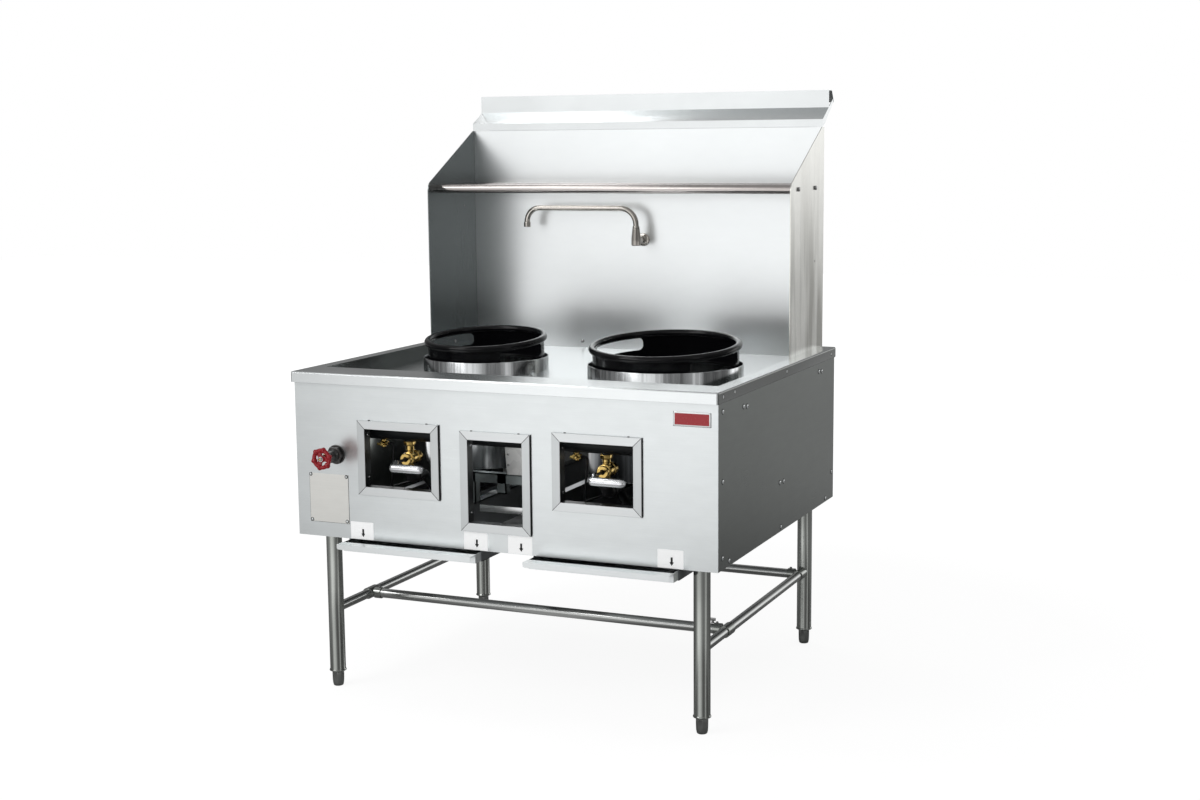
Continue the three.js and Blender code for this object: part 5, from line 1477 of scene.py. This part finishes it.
def make_side_screws():
    """Domed screws in the side panels, and flush ones in the deck's turned-down rim, each on a dark
    ring of painted shadow.
    """
    shapes = []
    for side in (-1, 1):
        out = (side, 0, 0)
        for y, z in SIDE_SCREWS:
            if z > RIM - RIM_HEIGHT:
                place = (side * RIM_OUT, y, z)
                shapes += disc(5.6, 0.25, place, out, joint_and_shade_dark)
                shapes += disc(3.8, 0.27, place, out, tray_steel)
            else:
                place = (side * BODY_HALF, y, z)
                shapes += disc(6.8, 0.25, place, out, joint_and_shade_dark)
                shapes += screw_head(place, out, 5.0, 2.6, tray_steel)
    piece("side_panel_screws", shapes)


def thin_plate(x, z, thickness, material, corner):
    """A thin plate on the front panel with round corners."""
    return outline_shape(rounded_outline(x, z, corner, 4), "y", (-thickness, 0.0), material)


def make_plate():
    shapes = thin_plate(PLATE_X, PLATE_Z, 0.7, plate_silver, 2.0)
    for x, z in RIVETS:
        shapes += turned_shape(RIVET_DOME, (x, -0.6, z), FRONT, tray_steel, 28)
        # A dark ring of painted shadow round each rivet.
        shapes += disc(4.8, 0.3, (x, -0.6, z), FRONT, joint_and_shade_dark)
    shapes += shadow_lines(PLATE_X, PLATE_Z, 0.8)
    piece("front_plate", shapes)


def make_badge():
    """A bright plate with a red field."""
    field_x = (BADGE_X[0] + BADGE_INSET, BADGE_X[1] - BADGE_INSET)
    field_z = (BADGE_Z[0] + BADGE_INSET, BADGE_Z[1] - BADGE_INSET)
    field = rounded_outline(field_x, field_z, 1.6, 4)
    shapes = bevelled(thin_plate(BADGE_X, BADGE_Z, 2.4, strap_steel, 4.0), 0.6)
    shapes += outline_shape(field, "y", (-2.75, -2.2), badge_red)
    shapes += shadow_lines(BADGE_X, BADGE_Z, 0.9)
    piece("front_badge", shapes)


def make_stickers():
    """Plain white film squares with a black arrow that points down to the trays."""
    shapes = []
    for x in STICKERS:
        shapes += thin_plate(x, STICKER_Z, 0.25, sticker_white_painted_glow, 1.0)
        middle, tip = sum(x) / 2 + 3.0, STICKER_Z[0] + 6.0
        head = [(middle - 6.0, tip + 9.0), (middle, tip), (middle + 6.0, tip + 9.0)]
        shapes += outline_shape(head, "y", PRINT_Y, print_black)
        shapes += box_shape(about(middle, 2.8), PRINT_Y, (tip + 8.0, tip + 21.0), print_black)
    piece("front_film_squares", shapes)


def make_rim_shadow_line():
    """A thin dark line of painted shadow under the deck's turned-down rim, on the panels below it."""
    z = (RIM - RIM_HEIGHT - 2.0, RIM - RIM_HEIGHT - 0.2)
    shapes = box_shape((-BODY_HALF, BODY_HALF), (-0.5, -0.02), z, joint_and_shade_dark)
    for side in (-1, 1):
        across = reach(side * (BODY_HALF + 0.02), side * 0.48)
        shapes += box_shape(across, (0.0, BODY_DEPTH), z, joint_and_shade_dark)
    piece("deck_rim_shadow_line", shapes)


make_rim_shadow_line()
make_side_screws()
make_plate()
make_badge()
make_stickers()

# ---------------- studio

# Brightness all round the range, by the angle in degrees from the front, to the right
SURROUND = (
    (-180, 0.25), (-120, 0.15), (-75, 0.15), (-60, 0.20), (-45, 0.32), (-35, 0.55), (-28, 0.90),
    (-22, 1.0), (-10, 1.0), (8, 0.80), (22, 0.32), (40, 0.15), (58, 0.25), (65, 0.70),
    (72, 0.60), (80, 0.12), (135, 0.16), (150, 0.20), (165, 0.22), (180, 0.25),
)
OVERHEAD = 0.42
GLOW_ANGLE = math.radians(150)  # a bright patch low at the back right
GLOW_BRIGHT = 1.3
FLOOR_REACH = 14.0
FLOOR_GLOW_SHARE = 0.72  # the rest of the floor takes the range's shadow
FLOOR_SEEN_NEAR = 1.24
FLOOR_SEEN_FAR = 1.42
FLOOR_NEAR = 0.25  # share of the brightness that the floor has under the range, a painted shadow
FLOOR_GAIN = 1.32 / FLOOR_GLOW_SHARE
INSIDE_X = (-0.51, 0.0, 0.51)


def surround_level(nodes, x, y):
    """Brightness in the direction x, y."""
    angle = nodes.calc("ARCTAN2", x, nodes.calc("MULTIPLY", y, -1.0))
    share = nodes.ramp(angle, -math.pi, math.pi, 0.0, 1.0)
    steps = nodes.add("ShaderNodeValToRGB", {"Fac": share})
    stops = steps.color_ramp.elements
    while len(stops) > 1:
        stops.remove(stops[-1])
    for i, (degrees, brightness) in enumerate(SURROUND):
        place = (degrees + 180.0) / 360.0
        stop = stops[0] if i == 0 else stops.new(place)
        stop.position = place
        stop.color = (brightness, brightness, brightness, 1.0)
    return steps.outputs["Color"]


def seen_by_camera(nodes, value, seen):
    """seen for the camera's own rays and value for all others."""
    path = nodes.add("ShaderNodeLightPath")
    return nodes.mix(path.outputs["Is Camera Ray"], value, seen)


def make_floor():
    """Plain white to the camera apart from the range's soft shadow. In reflections it has the
    surround's brightness, and a painted shadow makes it dimmer close to the range."""
    mesh = bpy.data.meshes.new("floor")
    low, high = -FLOOR_REACH, FLOOR_REACH
    corners = [(low, low, 0), (high, low, 0), (high, high, 0), (low, high, 0)]
    mesh.from_pydata(corners, [], [(0, 1, 2, 3)])
    floor = add_object("floor", mesh)
    nodes = new_material("pale_floor")
    x, y, _ = nodes.parts("Object")
    squares = nodes.calc("ADD", nodes.calc("POWER", x, 2.0), nodes.calc("POWER", y, 2.0))
    distance = nodes.calc("POWER", squares, 0.5)
    share = nodes.calc("MULTIPLY", nodes.ramp(distance, 1.5, 3.0, FLOOR_NEAR, 1.0), FLOOR_GAIN)
    lit = nodes.calc("MULTIPLY", surround_level(nodes, x, y), share)
    seen = nodes.ramp(distance, 1.5, 4.0, FLOOR_SEEN_NEAR, FLOOR_SEEN_FAR)
    glow = nodes.add("ShaderNodeEmission", {"Strength": seen_by_camera(nodes, lit, seen)})
    nodes.dress({"Base Color": (0.86, 0.86, 0.86), "Roughness": 0.9})
    blend = nodes.add("ShaderNodeMixShader", {
        "Fac": FLOOR_GLOW_SHARE, 1: nodes.shader.outputs["BSDF"], 2: glow.outputs["Emission"],
    })
    surface = nodes.tree.nodes["Material Output"].inputs["Surface"]
    nodes.put(surface, blend.outputs["Shader"])
    mesh.materials.append(nodes.owner)


def make_world():
    """White to the camera. For light and reflections it is bright at the front left and has a
    bright patch low at the back right, as in a studio with its lamps and windows there."""
    scene.world = bpy.data.worlds.new("studio")
    nodes = Nodes(scene.world)
    x, y, z = nodes.parts("Generated")
    around = surround_level(nodes, x, y)
    to_right = nodes.calc("MULTIPLY", x, math.sin(GLOW_ANGLE))
    to_back = nodes.calc("MULTIPLY", y, -math.cos(GLOW_ANGLE))
    towards = nodes.calc("ADD", to_right, to_back)
    above = nodes.ramp(z, -0.10, 0.0, 0.0, 1.0)
    patch = nodes.calc("MULTIPLY", nodes.ramp(towards, 0.90, 0.97, 0.0, 1.0), above)
    around = nodes.mix(patch, around, GLOW_BRIGHT)
    brightness = nodes.mix(nodes.ramp(z, 0.35, 0.75, 0.0, 1.0), around, OVERHEAD)
    background = nodes.tree.nodes["Background"]
    nodes.put(background.inputs["Color"], (1.0, 1.0, 1.0))
    nodes.put(background.inputs["Strength"], seen_by_camera(nodes, brightness, 1.0))


def make_lamp(name, place, target, size, watts):
    data = bpy.data.lights.new(name, "AREA")
    data.shape = "RECTANGLE"
    data.size, data.size_y = size
    data.energy = watts
    lamp = add_object(name, data)
    lamp.location = place
    lamp.rotation_euler = (Vector(target) - Vector(place)).to_track_quat("-Z", "Y").to_euler()


def make_inside_lamp(name, place, watts):
    """A small lamp for the light that falls into the body through its gaps."""
    data = bpy.data.lights.new(name, "POINT")
    data.energy = watts
    data.shadow_soft_size = 0.08
    add_object(name, data).location = place


make_floor()
make_world()
make_lamp("key_lamp", (-2.4, -3.4, 3.2), (0, 0, 0.8), (2.4, 1.6), 38)
make_lamp("top_lamp", (-1.15, 1.5, 3.2), (-0.4, 0.55, 1.5), (0.5, 1.0), 4)
make_lamp("cap_lamp", (-1.35, -0.7, 3.6), (-0.3, 0.55, 1.5), (0.7, 0.9), 6)
for inside_x in INSIDE_X:
    make_inside_lamp(f"inside_lamp_{inside_x:+.2f}", (inside_x, -0.1, 0.62), 0.4)
make_inside_lamp("inside_lamp_front", (-0.03, -0.43, 0.77), 1.8)

scene.cycles.sample_clamp_indirect = 1.5
scene.view_settings.view_transform = "Standard"
